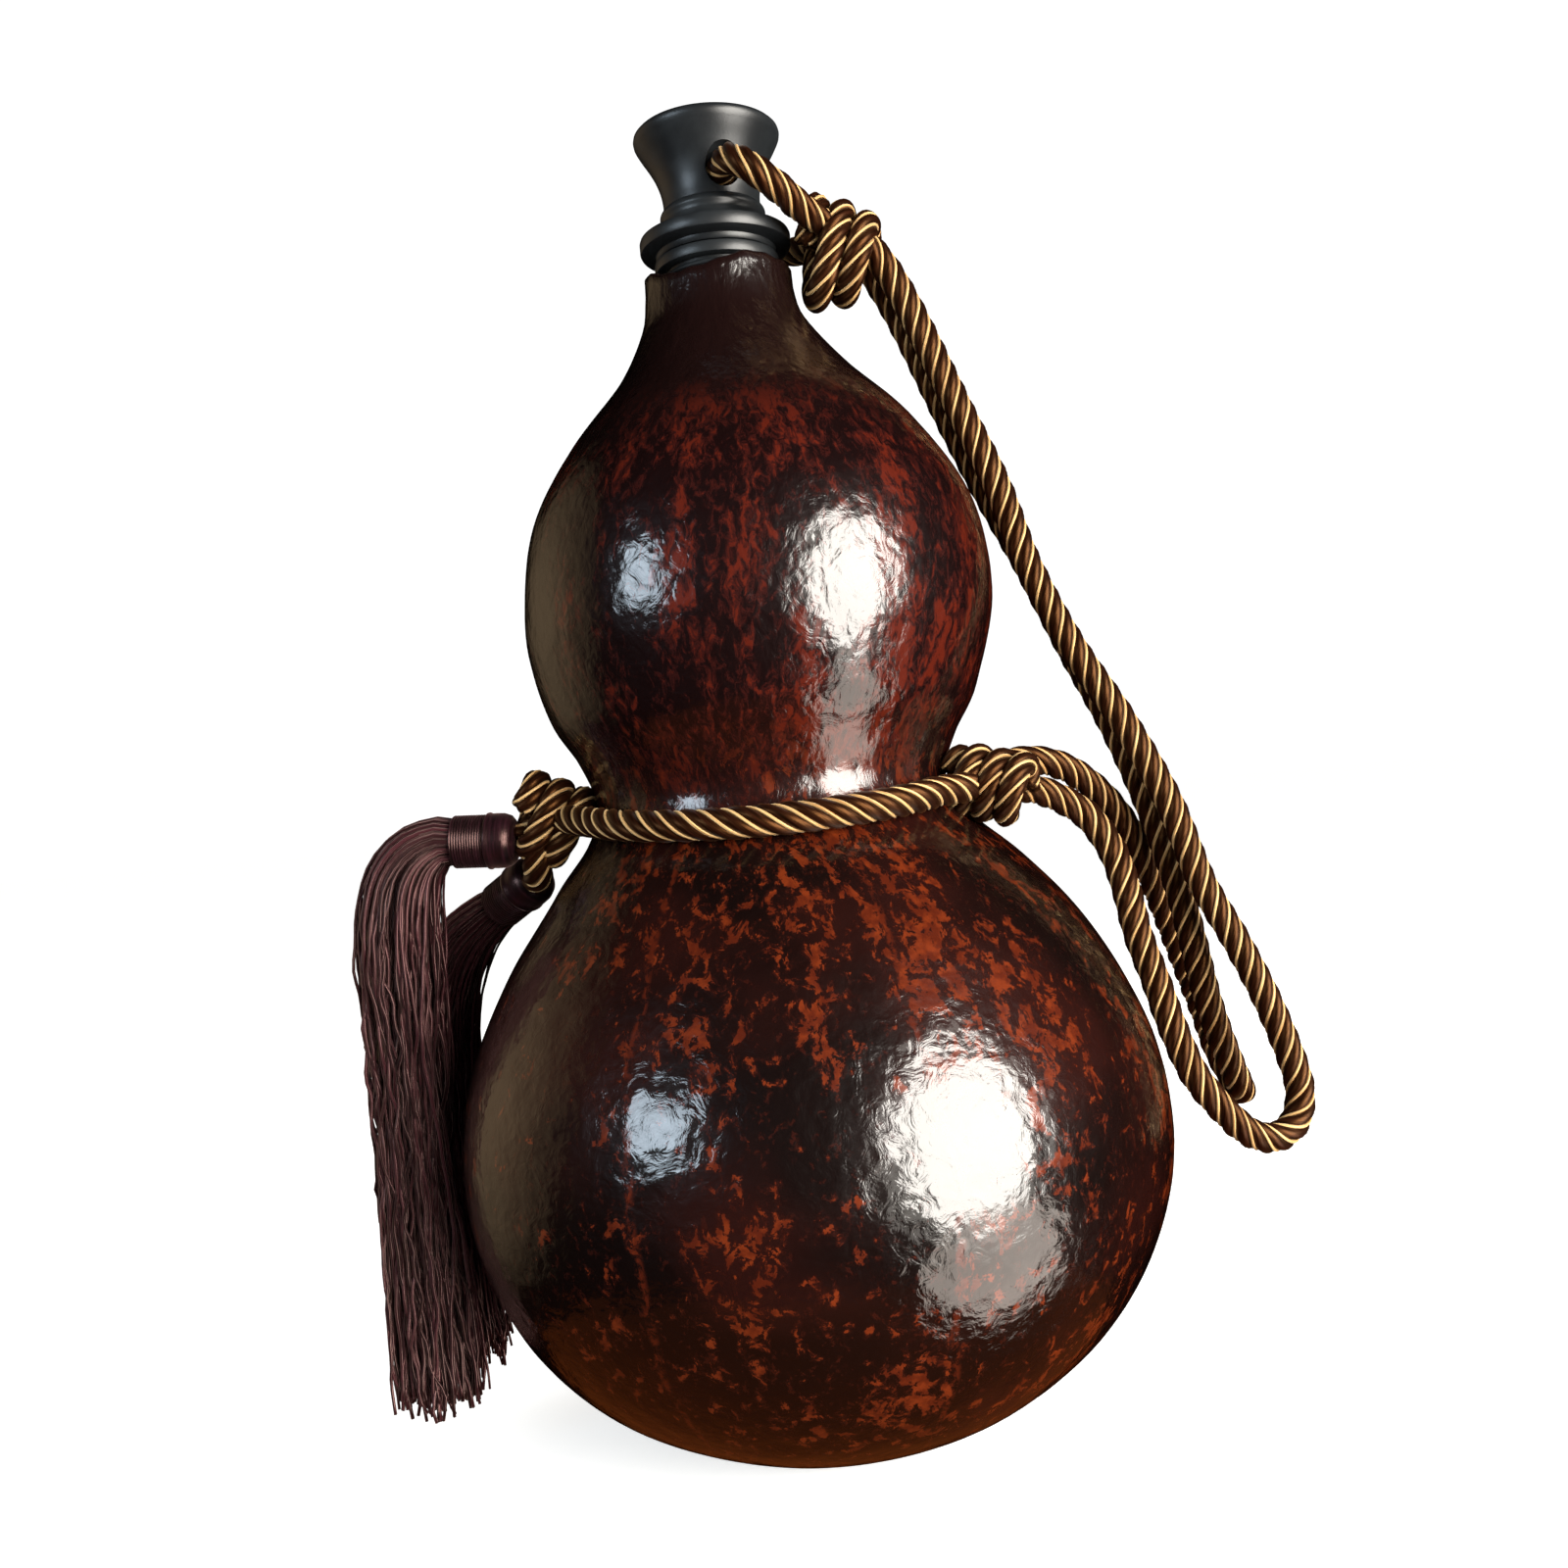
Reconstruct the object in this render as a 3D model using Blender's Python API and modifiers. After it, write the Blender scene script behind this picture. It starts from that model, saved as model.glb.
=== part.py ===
"""A dried double-lobed gourd made into a stoppered flask, with a twisted cord and two silk tassels.

The gourd stands on the flat of its belly with +Z up. Its front faces -Y, and the origin is on the
surface it stands on, under the middle of the belly. Sizes here are in millimetres, and MM turns
them into Blender's metres where a mesh or a curve is made.
"""

import math

import bmesh
import bpy
import numpy as np
from mathutils import Matrix, Vector

MM = 0.001
GAP = 0.3  # kept between pieces that touch

# The gourd's shell. Each pair is (radius, height) up its outside, from the edge of its flat to its mouth.
SHELL_OUTLINE = [
    (12.0, 0.0),
    (24.6, 2.7),
    (39.0, 11.0),
    (49.2, 23.5),
    (54.4, 39.0),
    (53.4, 56.0),
    (46.2, 72.5),
    (36.8, 85.3),
    (30.2, 92.5),
    (27.6, 98.5),
    (29.6, 105.0),
    (33.7, 112.5),
    (36.8, 126.0),
    (34.8, 141.0),
    (27.6, 153.5),
    (18.3, 164.0),
    (13.2, 172.0),
    (11.9, 177.0),
    (11.7, 181.0),
]
SHELL_WALL = 2.6
INNER_FLOOR_RADIUS = 11.0
SHELL_SEGMENTS = 40
MOUTH_HEIGHT = SHELL_OUTLINE[-1][1]
MOUTH_BORE_RADIUS = SHELL_OUTLINE[-1][0] - SHELL_WALL
MOUTH_DIP = 3.5  # how far the hand-cut rim drops at its lowest
MOUTH_DIP_ANGLE = math.radians(-118)
MOUTH_DIP_FROM = 168.0  # the cut starts to slant from this height

# The bent middle line that the two lobes and the neck follow: each is (start, end, shift along X).
BENDS = [(78.0, 102.0, -2.5), (108.0, 135.0, 0.9), (155.0, 178.0, -1.9)]

# The stopper and the bush in the mouth share the neck's middle line.
NECK_X = -3.5
STOPPER_TOP = 204.0
STOPPER_HEAD_RADIUS = 11.65
STOPPER_WAIST_RADIUS = 7.7
FLANGE_RADIUS = 12.0
FLANGE_TOP = 186.8
FLANGE_BOTTOM = 184.6
PLUG_RADIUS = 6.8
PLUG_BOTTOM = 166.0
CORD_HOLE_RADIUS = 2.75
CORD_HOLE_HEIGHT = 195.0
CORD_HOLE_TURN = math.radians(17)  # from straight ahead, towards +X
BUSH_COLLAR_RADIUS = 9.9
BUSH_RADIUS = MOUTH_BORE_RADIUS - 0.5
BUSH_BORE_RADIUS = PLUG_RADIUS + 0.4
BUSH_TOP = 183.2
BUSH_BOTTOM = 168.0
BUSH_RIDGES = 4
TURNED_SEGMENTS = 32

# The cord, and where its routes run. A route starts and ends inside a knot and is trimmed to it.
CORD_DIAMETER = 4.7
LANYARD_POINT_SPACING = 8.6
WAIST_POINT_SPACING = 8.0
LOOP_POINT_SPACING = 6.0

STOPPER_KNOT = {"centre": (15.4, -3.2, 181.4), "radii": (4.8, 5.2, 9.6), "lean": 12.0, "turn": 0.0}
RIGHT_KNOT = {"centre": (30.4, -11.2, 96.6), "radii": (4.5, 6.4, 5.8), "lean": 0.0, "turn": -20.0}
LEFT_KNOT = {"centre": (-36.6, -4.6, 96.9), "radii": (4.3, 4.8, 7.4), "lean": 22.0, "turn": 0.0}

STOPPER_LOOP_START = [
    (15.4, -5.2, 184.6),
    (10.4, -8.8, 186.9),
    (6.6, -12.0, 189.4),
    (2.4, -13.3, 192.4),
    (-0.2, -11.2, 194.6),
]
STOPPER_LOOP_END = [
    (-6.4, 12.2, 194.6),
    (-3.0, 15.4, 192.6),
    (3.6, 14.6, 189.8),
    (9.6, 9.2, 187.2),
    (15.0, -0.6, 184.4),
]
LANYARD_FRONT = [
    (15.0, -5.4, 185.4),
    (20.4, -5.0, 181.4),
    (23.8, -3.6, 176.8),
    (27.3, -2.6, 169.4),
    (32.3, -2.5, 156.4),
    (37.3, -2.6, 143.5),
    (41.0, -2.7, 130.6),
    (46.6, -2.8, 117.5),
    (53.8, -3.0, 104.4),
    (59.6, -3.2, 91.5),
    (63.6, -3.3, 78.6),
    (68.0, -3.6, 69.0),
    (71.9, -3.9, 59.4),
    (74.9, -4.3, 49.4),
    (75.3, -5.0, 44.4),
    (73.6, -6.3, 40.6),
    (69.8, -8.0, 39.0),
    (65.4, -9.8, 40.6),
    (61.2, -11.0, 45.0),
    (57.5, -11.4, 50.4),
    (55.1, -10.8, 57.4),
    (53.4, -9.4, 65.0),
    (51.8, -8.0, 71.6),
    (50.9, -6.8, 78.6),
    (49.6, -5.6, 84.6),
    (46.4, -5.3, 90.2),
    (41.8, -6.4, 93.6),
    (37.2, -8.6, 95.4),
    (30.4, -11.8, 95.6),
]
LANYARD_REAR = [
    (15.0, -1.0, 186.6),
    (19.8, 1.2, 181.8),
    (23.1, 2.4, 176.6),
    (26.4, 2.7, 169.2),
    (31.4, 2.8, 156.0),
    (36.6, 2.8, 143.2),
    (42.4, 2.7, 130.2),
    (47.7, 2.6, 117.1),
    (53.4, 2.4, 104.0),
    (57.8, 2.2, 91.2),
    (61.2, 2.3, 78.4),
    (63.0, 2.6, 68.8),
    (64.7, 3.9, 60.0),
    (66.6, 5.5, 53.4),
    (68.7, 7.4, 47.7),
    (70.6, 9.9, 43.6),
    (71.8, 13.8, 42.0),
    (71.5, 17.9, 43.8),
    (70.1, 20.0, 48.3),
    (68.2, 19.2, 55.0),
    (65.0, 16.0, 63.6),
    (61.6, 12.2, 72.6),
    (58.2, 8.6, 81.0),
    (55.0, 5.6, 87.4),
    (51.0, 3.2, 93.0),
    (46.2, 0.7, 97.2),
    (41.6, -1.8, 99.3),
    (36.8, -4.4, 99.8),
    (30.4, -9.0, 99.0),
]
WAIST_FRONT_HEIGHT = 94.3
WAIST_SIDE_HEIGHT = 96.2
WAIST_REAR_HEIGHT = 97.4
WAIST_CORD_CLEARANCE = 1.1  # over the cord's own radius, as the shell slopes there

# Each tassel is a wrapped head with a skirt of strands. A skirt's stops are (x, y, z, radius).
FRONT_HEAD = {"start": (-42.0, -4.2, 94.4), "end": (-51.6, -3.4, 94.9), "radius": 4.3}
REAR_HEAD = {"start": (-40.2, 2.8, 88.6), "end": (-47.6, 8.4, 84.0), "radius": 4.1}
FRONT_SKIRT = [
    (-52.3, -3.4, 94.9, 3.9),
    (-54.6, -3.2, 94.9, 4.5),
    (-58.4, -3.1, 92.6, 5.9),
    (-61.0, -3.0, 87.4, 7.0),
    (-62.0, -3.0, 78.0, 7.4),
    (-62.0, -3.0, 60.0, 7.0),
    (-62.0, -3.2, 40.0, 7.0),
    (-61.6, -3.6, 20.0, 7.6),
    (-61.0, -4.0, 5.0, 8.4),
]
REAR_SKIRT = [
    (-47.9, 8.6, 83.8, 3.8),
    (-50.2, 10.2, 82.4, 4.3),
    (-54.4, 12.2, 78.8, 5.3),
    (-58.4, 13.2, 72.2, 6.2),
    (-60.4, 13.6, 62.0, 6.4),
    (-60.9, 13.6, 45.0, 6.4),
    (-60.3, 13.4, 25.0, 6.8),
    (-58.6, 13.0, 6.0, 7.6),
]
SKIRT_POINT_SPACING = 3.0


def clear_scene():
    for obj in list(bpy.data.objects):
        bpy.data.objects.remove(obj)


def new_collection(name):
    collection = bpy.data.collections.new(name)
    bpy.context.scene.collection.children.link(collection)
    return collection


def new_material(name, colour, roughness, coat=0.0, sheen=0.0):
    material = bpy.data.materials.new(name)
    material.use_nodes = True
    shader = material.node_tree.nodes["Principled BSDF"]
    shader.inputs["Base Color"].default_value = (*colour, 1.0)
    shader.inputs["Roughness"].default_value = roughness
    shader.inputs["Metallic"].default_value = 0.0
    shader.inputs["Coat Weight"].default_value = coat
    shader.inputs["Sheen Weight"].default_value = sheen
    return material


def move_to(obj, collection):
    """Takes the object out of the collections it is in and puts it in this one."""
    for home in list(obj.users_collection):
        home.objects.unlink(obj)
    collection.objects.link(obj)


def new_object(name, data, collection, material):
    obj = bpy.data.objects.new(name, data)
    obj.data.materials.append(material)
    collection.objects.link(obj)
    return obj


def ease(value, start, end):
    """A smooth step from 0 at start to 1 at end."""
    t = min(max((value - start) / (end - start), 0.0), 1.0)
    return t * t * (3.0 - 2.0 * t)


def lean(height):
    """How far the gourd's middle line stands from the Z axis, along X."""
    return sum(shift * ease(height, start, end) for start, end, shift in BENDS)


def smooth_curve(points, steps):
    """Points on a smooth curve through the given ones, with that many steps from each to the next."""
    stops = np.array(points, float)
    before = 2 * stops[0] - stops[1]
    after = 2 * stops[-1] - stops[-2]
    padded = np.vstack([before, stops, after])
    curve = []
    for a, b, c, d in zip(padded, padded[1:], padded[2:], padded[3:]):
        for t in np.linspace(0.0, 1.0, steps, endpoint=False):
            pull = (c - a) * t + (2 * a - 5 * b + 4 * c - d) * t**2 + (3 * b - a - 3 * c + d) * t**3
            curve.append(b + 0.5 * pull)
    curve.append(stops[-1])
    return np.array(curve)


def spaced(curve, spacing):
    """The same curve with its points an even distance apart, close to spacing."""
    lengths = np.linalg.norm(np.diff(curve, axis=0), axis=1)
    travelled = np.concatenate([[0.0], np.cumsum(lengths)])
    count = max(2, round(travelled[-1] / spacing)) + 1
    wanted = np.linspace(0.0, travelled[-1], count)
    return np.column_stack([np.interp(wanted, travelled, axis) for axis in curve.T])


def turned(name, outline, segments, collection, material):
    """A solid turned about Z. The outline's (radius, height) pairs run down its outer side."""
    mesh = bpy.data.meshes.new(name)
    vertices = [(radius * MM, 0.0, height * MM) for radius, height in outline]
    edges = [(i, i + 1) for i in range(len(vertices) - 1)]
    if outline[0][0] > 0.0:
        edges.append((len(vertices) - 1, 0))
    mesh.from_pydata(vertices, edges, [])
    obj = new_object(name, mesh, collection, material)
    screw = obj.modifiers.new("turn", "SCREW")
    screw.steps = segments
    screw.render_steps = segments
    screw.use_merge_vertices = True
    screw.merge_threshold = 0.00001
    screw.use_smooth_shade = True
    return obj


def applied(obj):
    """Gives the object its evaluated mesh in place of its modifiers."""
    bpy.context.view_layer.update()
    graph = bpy.context.evaluated_depsgraph_get()
    mesh = bpy.data.meshes.new_from_object(obj.evaluated_get(graph))
    obj.modifiers.clear()
    obj.data = mesh
    return obj


def inner_wall(outline, wall):
    """The outline moved inwards by the wall's thickness."""
    points = np.array(outline)
    along = np.gradient(points, axis=0)
    along /= np.linalg.norm(along, axis=1)[:, None]
    inwards = np.column_stack([-along[:, 1], along[:, 0]])
    return points + wall * inwards


def mouth_drop(x, y, height):
    """How far the uneven cut lowers a point near the mouth."""
    around = math.cos(math.atan2(y, x - lean(height)) - MOUTH_DIP_ANGLE)
    return MOUTH_DIP * max(around, 0.0) ** 2 * ease(height, MOUTH_DIP_FROM, MOUTH_HEIGHT)


def build_shell(collection, material):
    """The gourd itself: one hollow shell, open at its cut mouth."""
    outside = smooth_curve(SHELL_OUTLINE, 2)
    inside = inner_wall(smooth_curve(SHELL_OUTLINE[1:], 1), SHELL_WALL)
    inside[-1] = (MOUTH_BORE_RADIUS, MOUTH_HEIGHT)
    inside[-2][0] = MOUTH_BORE_RADIUS
    outline = [(0.0, SHELL_WALL), (INNER_FLOOR_RADIUS, SHELL_WALL + 0.4)]
    outline += [tuple(point) for point in inside]
    outline += [tuple(point) for point in outside[::-1]]
    outline.append((0.0, 0.0))
    shell = applied(turned("gourd_shell", outline, SHELL_SEGMENTS, collection, material))
    for vertex in shell.data.vertices:
        x, y, height = vertex.co / MM
        x += lean(height)
        height -= mouth_drop(x, y, height)
        vertex.co = Vector((x, y, height)) * MM
    return shell


def stopper_outline():
    """The turned stopper from the top of its head down to the end of its plug."""
    head, waist, flange = STOPPER_HEAD_RADIUS, STOPPER_WAIST_RADIUS, FLANGE_RADIUS
    crown = [(0.0, STOPPER_TOP), (6.5, STOPPER_TOP - 0.1), (head - 1.2, STOPPER_TOP - 0.5)]
    lip = [(head - 0.3, 203.1), (head, 202.4), (head - 0.3, 201.6)]
    flare = [(head - 1.7, 199.4), (head - 2.9, 196.9), (head - 3.6, 194.2), (waist, 191.6)]
    bead = [(waist + 0.5, 190.9), (waist + 0.6, 190.2), (waist + 0.3, 189.4)]
    shoulder = [(waist + 0.8, 188.1), (waist + 2.4, 187.2)]
    rim = [
        (flange - 0.4, FLANGE_TOP),
        (flange, FLANGE_TOP - 0.6),
        (flange, FLANGE_BOTTOM + 0.6),
        (flange - 0.4, FLANGE_BOTTOM),
    ]
    seat = [(9.7, FLANGE_BOTTOM), (9.5, 184.2), (9.5, BUSH_TOP + GAP)]
    plug = [
        (PLUG_RADIUS, BUSH_TOP + GAP),
        (PLUG_RADIUS - 0.5, PLUG_BOTTOM + 0.9),
        (PLUG_RADIUS - 1.4, PLUG_BOTTOM),
        (0.0, PLUG_BOTTOM),
    ]
    return crown + lip + flare + bead + shoulder + rim + seat + plug


def build_stopper(collection, cutters, material):
    """The stopper, with the hole across its body that the cord runs through."""
    stopper = turned("stopper", stopper_outline(), TURNED_SEGMENTS, collection, material)
    stopper.location.x = NECK_X * MM
    bpy.ops.mesh.primitive_cylinder_add(
        vertices=24,
        radius=CORD_HOLE_RADIUS * MM,
        depth=4 * STOPPER_HEAD_RADIUS * MM,
        location=(NECK_X * MM, 0.0, CORD_HOLE_HEIGHT * MM),
        rotation=(math.radians(90), 0.0, CORD_HOLE_TURN),
    )
    cutter = bpy.context.object
    cutter.name = "cord_hole_cutter"
    cutter.hide_render = True
    cutter.display_type = "WIRE"
    move_to(cutter, cutters)
    cut = stopper.modifiers.new("cord hole", "BOOLEAN")
    cut.object = cutter
    return stopper


def bush_outline():
    """The ridged bush in the mouth, as one closed ring: down its outside and up its bore."""
    outline = [(BUSH_BORE_RADIUS, BUSH_TOP), (BUSH_COLLAR_RADIUS - 0.4, BUSH_TOP)]
    outline += [(BUSH_COLLAR_RADIUS, BUSH_TOP - 0.5), (BUSH_COLLAR_RADIUS, MOUTH_HEIGHT + 0.6)]
    outline += [(BUSH_COLLAR_RADIUS - 0.4, MOUTH_HEIGHT + GAP), (BUSH_RADIUS - 0.5, MOUTH_HEIGHT + GAP)]
    pitch = 1.3
    for ridge in range(BUSH_RIDGES):
        top = MOUTH_HEIGHT - 0.3 - ridge * pitch
        outline += [(BUSH_RADIUS, top - 0.3), (BUSH_RADIUS, top - 0.7), (BUSH_RADIUS - 0.5, top - 1.0)]
    outline += [(BUSH_RADIUS - 0.5, BUSH_BOTTOM), (BUSH_BORE_RADIUS, BUSH_BOTTOM)]
    return outline


def build_bush(collection, material):
    bush = turned("mouth_bush", bush_outline(), TURNED_SEGMENTS, collection, material)
    bush.location.x = NECK_X * MM
    return bush


def knot_frame(knot):
    """The knot's place, its turn about Z and its lean as a matrix, in millimetres."""
    turn = Matrix.Rotation(math.radians(knot["turn"]), 4, "Z")
    lean_over = Matrix.Rotation(math.radians(knot["lean"]), 4, "Y")
    return Matrix.Translation(knot["centre"]) @ turn @ lean_over


def build_knot(name, knot, collection, material):
    """The outer shape of a tied knot: a ball stretched to the knot's size."""
    bpy.ops.mesh.primitive_uv_sphere_add(segments=16, ring_count=10, radius=MM)
    obj = bpy.context.object
    move_to(obj, collection)
    obj.name = name
    obj.data.materials.append(material)
    obj.data.shade_smooth()
    place = knot_frame(knot) @ Matrix.Diagonal((*knot["radii"], 1.0))
    place.translation *= MM
    obj.matrix_world = place
    return obj


def beside(knot, point):
    """True if the point is outside the knot and its gap."""
    local = knot_frame(knot).inverted() @ Vector(point)
    return sum((local[i] / (knot["radii"][i] + GAP)) ** 2 for i in range(3)) > 1.0


def trimmed(route, knots):
    """The stretch of the route whose full thickness is outside the knots at its ends."""
    ahead = np.gradient(route, axis=0)
    kept = []
    for point, direction in zip(route, ahead):
        turn = Vector(direction).to_track_quat("Z", "Y")
        rim = []
        for step in range(12):
            angle = math.radians(30 * step)
            spoke = turn @ Vector((math.cos(angle), math.sin(angle), 0.0))
            rim.append(Vector(point) + spoke * CORD_DIAMETER / 2)
        if all(beside(knot, place) for knot in knots for place in rim):
            kept.append(point)
    return np.array(kept)


def build_tube(name, curve, radii, collection, material):
    """A round solid along the curve's points, with closed ends. radii gives its thickness at each point."""
    data = bpy.data.curves.new(name, "CURVE")
    data.dimensions = "3D"
    data.bevel_depth = MM
    data.bevel_resolution = 2
    data.use_fill_caps = True
    spline = data.splines.new("POLY")
    spline.points.add(len(curve) - 1)
    for place, point, radius in zip(spline.points, curve, radii):
        place.co = (*(Vector(point) * MM), 1.0)
        place.radius = radius
    return new_object(name, data, collection, material)


def build_cord(name, route, knots, spacing, collection, material):
    """One stretch of the cord, from one knot to the next."""
    curve = spaced(trimmed(smooth_curve(route, 40), knots), spacing)
    radii = [CORD_DIAMETER / 2] * len(curve)
    return build_tube(name, curve, radii, collection, material)


def stopper_loop_route():
    """From the knot to the front of the stopper's hole, through it, and round behind to the knot."""
    through = []
    for reach in (8.4, 3.0, -3.0, -8.4):
        x = NECK_X + reach * math.sin(CORD_HOLE_TURN)
        y = -reach * math.cos(CORD_HOLE_TURN)
        through.append((x, y, CORD_HOLE_HEIGHT))
    return STOPPER_LOOP_START + through + STOPPER_LOOP_END


def shell_radius(height):
    outline = smooth_curve(SHELL_OUTLINE, 8)
    return float(np.interp(height, outline[:, 1], outline[:, 0]))


def waist_route(start, end, middle_height):
    """Half a turn round the waist between two angles in degrees, with the knots' places at its ends."""
    route = [RIGHT_KNOT["centre"]]
    for angle in np.linspace(start, end, 9):
        middle = math.sin(math.pi * (angle - start) / (end - start))
        height = WAIST_SIDE_HEIGHT + (middle_height - WAIST_SIDE_HEIGHT) * middle
        reach = shell_radius(height) + CORD_DIAMETER / 2 + WAIST_CORD_CLEARANCE
        x = lean(height) + reach * math.cos(math.radians(angle))
        y = reach * math.sin(math.radians(angle))
        route.append((x, y, height))
    route.append(LEFT_KNOT["centre"])
    return route


def build_cords(collection, material):
    """All of the cord: its loop through the stopper, the doubled lanyard, and its turn round the waist."""
    to_waist = [STOPPER_KNOT, RIGHT_KNOT]
    round_waist = [RIGHT_KNOT, LEFT_KNOT]
    front = waist_route(-38.0, -152.0, WAIST_FRONT_HEIGHT)
    rear = waist_route(12.0, 164.0, WAIST_REAR_HEIGHT)
    stretches = [
        ("stopper_loop_cord", stopper_loop_route(), [STOPPER_KNOT], LOOP_POINT_SPACING),
        ("lanyard_cord_front", LANYARD_FRONT, to_waist, LANYARD_POINT_SPACING),
        ("lanyard_cord_rear", LANYARD_REAR, to_waist, LANYARD_POINT_SPACING),
        ("waist_cord_front", front, round_waist, WAIST_POINT_SPACING),
        ("waist_cord_rear", rear, round_waist, WAIST_POINT_SPACING),
    ]
    for name, route, knots, spacing in stretches:
        build_cord(name, route, knots, spacing, collection, material)


def build_head(name, head, collection, material):
    """A tassel's head: the neck and the rounded, thread-wrapped body, laid along its own line."""
    start, end, radius = Vector(head["start"]), Vector(head["end"]), head["radius"]
    length = (end - start).length
    outline = [
        (0.0, length),
        (radius - 0.6, length),
        (radius, length - 0.6),
        (radius, length * 0.55),
        (radius - 0.4, length * 0.5),
        (radius, length * 0.45),
        (radius, 1.6),
        (radius - 0.8, 0.4),
        (radius - 2.2, 0.0),
        (0.0, 0.0),
    ]
    obj = turned(name, outline, 20, collection, material)
    obj.rotation_euler = (end - start).to_track_quat("Z", "Y").to_euler()
    obj.location = start * MM
    return obj


def build_skirt(name, stops, collection, material):
    """A tassel's hanging strands as one solid, which widens from its head to its ends."""
    curve = spaced(smooth_curve(stops, 12), SKIRT_POINT_SPACING)
    skirt = build_tube(name, curve[:, :3], curve[:, 3], collection, material)
    skirt.data.bevel_resolution = 4
    return skirt


def main():
    clear_scene()
    flask = new_collection("dried_bottle_gourd")
    cutters = new_collection("cutters")
    lacquered_rind = new_material("lacquered_rind", (0.07, 0.015, 0.008), 0.2, coat=1.0)
    black_plastic = new_material("black_plastic", (0.02, 0.021, 0.022), 0.35)
    twisted_silk = new_material("twisted_silk", (0.10, 0.045, 0.02), 0.5, sheen=0.4)
    tassel_silk = new_material("tassel_silk", (0.035, 0.012, 0.02), 0.45, sheen=0.6)
    build_shell(flask, lacquered_rind)
    build_bush(flask, black_plastic)
    build_stopper(flask, cutters, black_plastic)
    build_knot("stopper_knot", STOPPER_KNOT, flask, twisted_silk)
    build_knot("waist_knot_right", RIGHT_KNOT, flask, twisted_silk)
    build_knot("waist_knot_left", LEFT_KNOT, flask, twisted_silk)
    build_cords(flask, twisted_silk)
    build_head("tassel_head_front", FRONT_HEAD, flask, tassel_silk)
    build_head("tassel_head_rear", REAR_HEAD, flask, tassel_silk)
    build_skirt("tassel_skirt_front", FRONT_SKIRT, flask, tassel_silk)
    build_skirt("tassel_skirt_rear", REAR_SKIRT, flask, tassel_silk)


main()
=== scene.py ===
"""Looks for a stoppered gourd flask: lacquered rind, moulded stopper, twisted cord and silk tassels.

Everything is worked out in millimetres in the part's own frame: +Z is up, the front faces -Y and
the gourd stands on Z = 0. MM turns millimetres into Blender's metres where a mesh is made.
"""

import logging
import math
from collections.abc import Callable, Sequence
from dataclasses import dataclass, field, replace
from enum import Enum

import bmesh
import bpy
import numpy as np
from mathutils import Matrix, Vector, noise


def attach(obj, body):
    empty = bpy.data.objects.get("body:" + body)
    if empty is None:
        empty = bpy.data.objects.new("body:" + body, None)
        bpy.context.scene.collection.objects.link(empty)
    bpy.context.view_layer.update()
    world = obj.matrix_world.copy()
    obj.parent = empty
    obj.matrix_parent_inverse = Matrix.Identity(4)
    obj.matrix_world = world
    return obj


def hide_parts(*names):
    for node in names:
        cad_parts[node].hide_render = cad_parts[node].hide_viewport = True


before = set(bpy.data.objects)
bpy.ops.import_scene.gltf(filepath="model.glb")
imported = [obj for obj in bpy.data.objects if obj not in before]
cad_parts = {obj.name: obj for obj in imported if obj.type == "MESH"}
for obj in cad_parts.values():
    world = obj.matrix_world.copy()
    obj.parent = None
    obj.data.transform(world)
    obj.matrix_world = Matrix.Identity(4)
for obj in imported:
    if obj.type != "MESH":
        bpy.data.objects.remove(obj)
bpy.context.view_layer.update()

MM = 0.001
TAU = 2.0 * math.pi
GOLDEN_ANGLE = math.radians(137.508)
BODY = "root"
log = logging.getLogger("gourd_flask")

Point = tuple[float, float, float]
Route = tuple[Point, ...]
Piece = bpy.types.Object
Material = bpy.types.Material
Socket = bpy.types.NodeSocket


class Slot(Enum):
    """The record's material slots."""

    RIND = "lacquered_rind"
    PLASTIC = "black_plastic"
    CORD = "twisted_silk"
    TASSEL = "tassel_silk"


# --------------------------------------------------------------------------- small helpers


def ease(value: np.ndarray | float, start: float, end: float) -> np.ndarray:
    """A smooth step from 0 at start to 1 at end."""
    t = np.clip((np.asarray(value, float) - start) / (end - start), 0.0, 1.0)
    return t * t * (3.0 - 2.0 * t)


def unit(vectors: np.ndarray) -> np.ndarray:
    """The vectors, each made one long."""
    return vectors / np.maximum(np.linalg.norm(vectors, axis=-1, keepdims=True), 1e-12)


def smooth_curve(stops: Sequence[Sequence[float]], steps: int) -> np.ndarray:
    """Draws a smooth curve through points.

    Args:
        stops: the points that the curve passes through.
        steps: how many steps to take from each point to the next.

    Returns:
        The curve's points, the last stop included.
    """
    points = np.array(stops, float)
    padded = np.vstack([2 * points[0] - points[1], points, 2 * points[-1] - points[-2]])
    share = np.linspace(0.0, 1.0, steps, endpoint=False)[:, None]
    pieces = []
    for a, b, c, d in zip(padded, padded[1:], padded[2:], padded[3:]):
        pull = (c - a) * share + (2 * a - 5 * b + 4 * c - d) * share**2
        pull += (3 * b - a - 3 * c + d) * share**3
        pieces.append(b + 0.5 * pull)
    return np.vstack([*pieces, points[-1:]])


def travelled(line: np.ndarray) -> np.ndarray:
    """How far along the line each of its points is."""
    return np.concatenate([[0.0], np.cumsum(np.linalg.norm(np.diff(line[:, :3], axis=0), axis=1))])


def spaced(line: np.ndarray, spacing: float) -> np.ndarray:
    """The same line with its points an even distance apart, close to spacing."""
    along = travelled(line)
    wanted = np.linspace(0.0, along[-1], max(2, round(along[-1] / spacing)) + 1)
    return np.column_stack([np.interp(wanted, along, axis) for axis in line.T])


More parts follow.
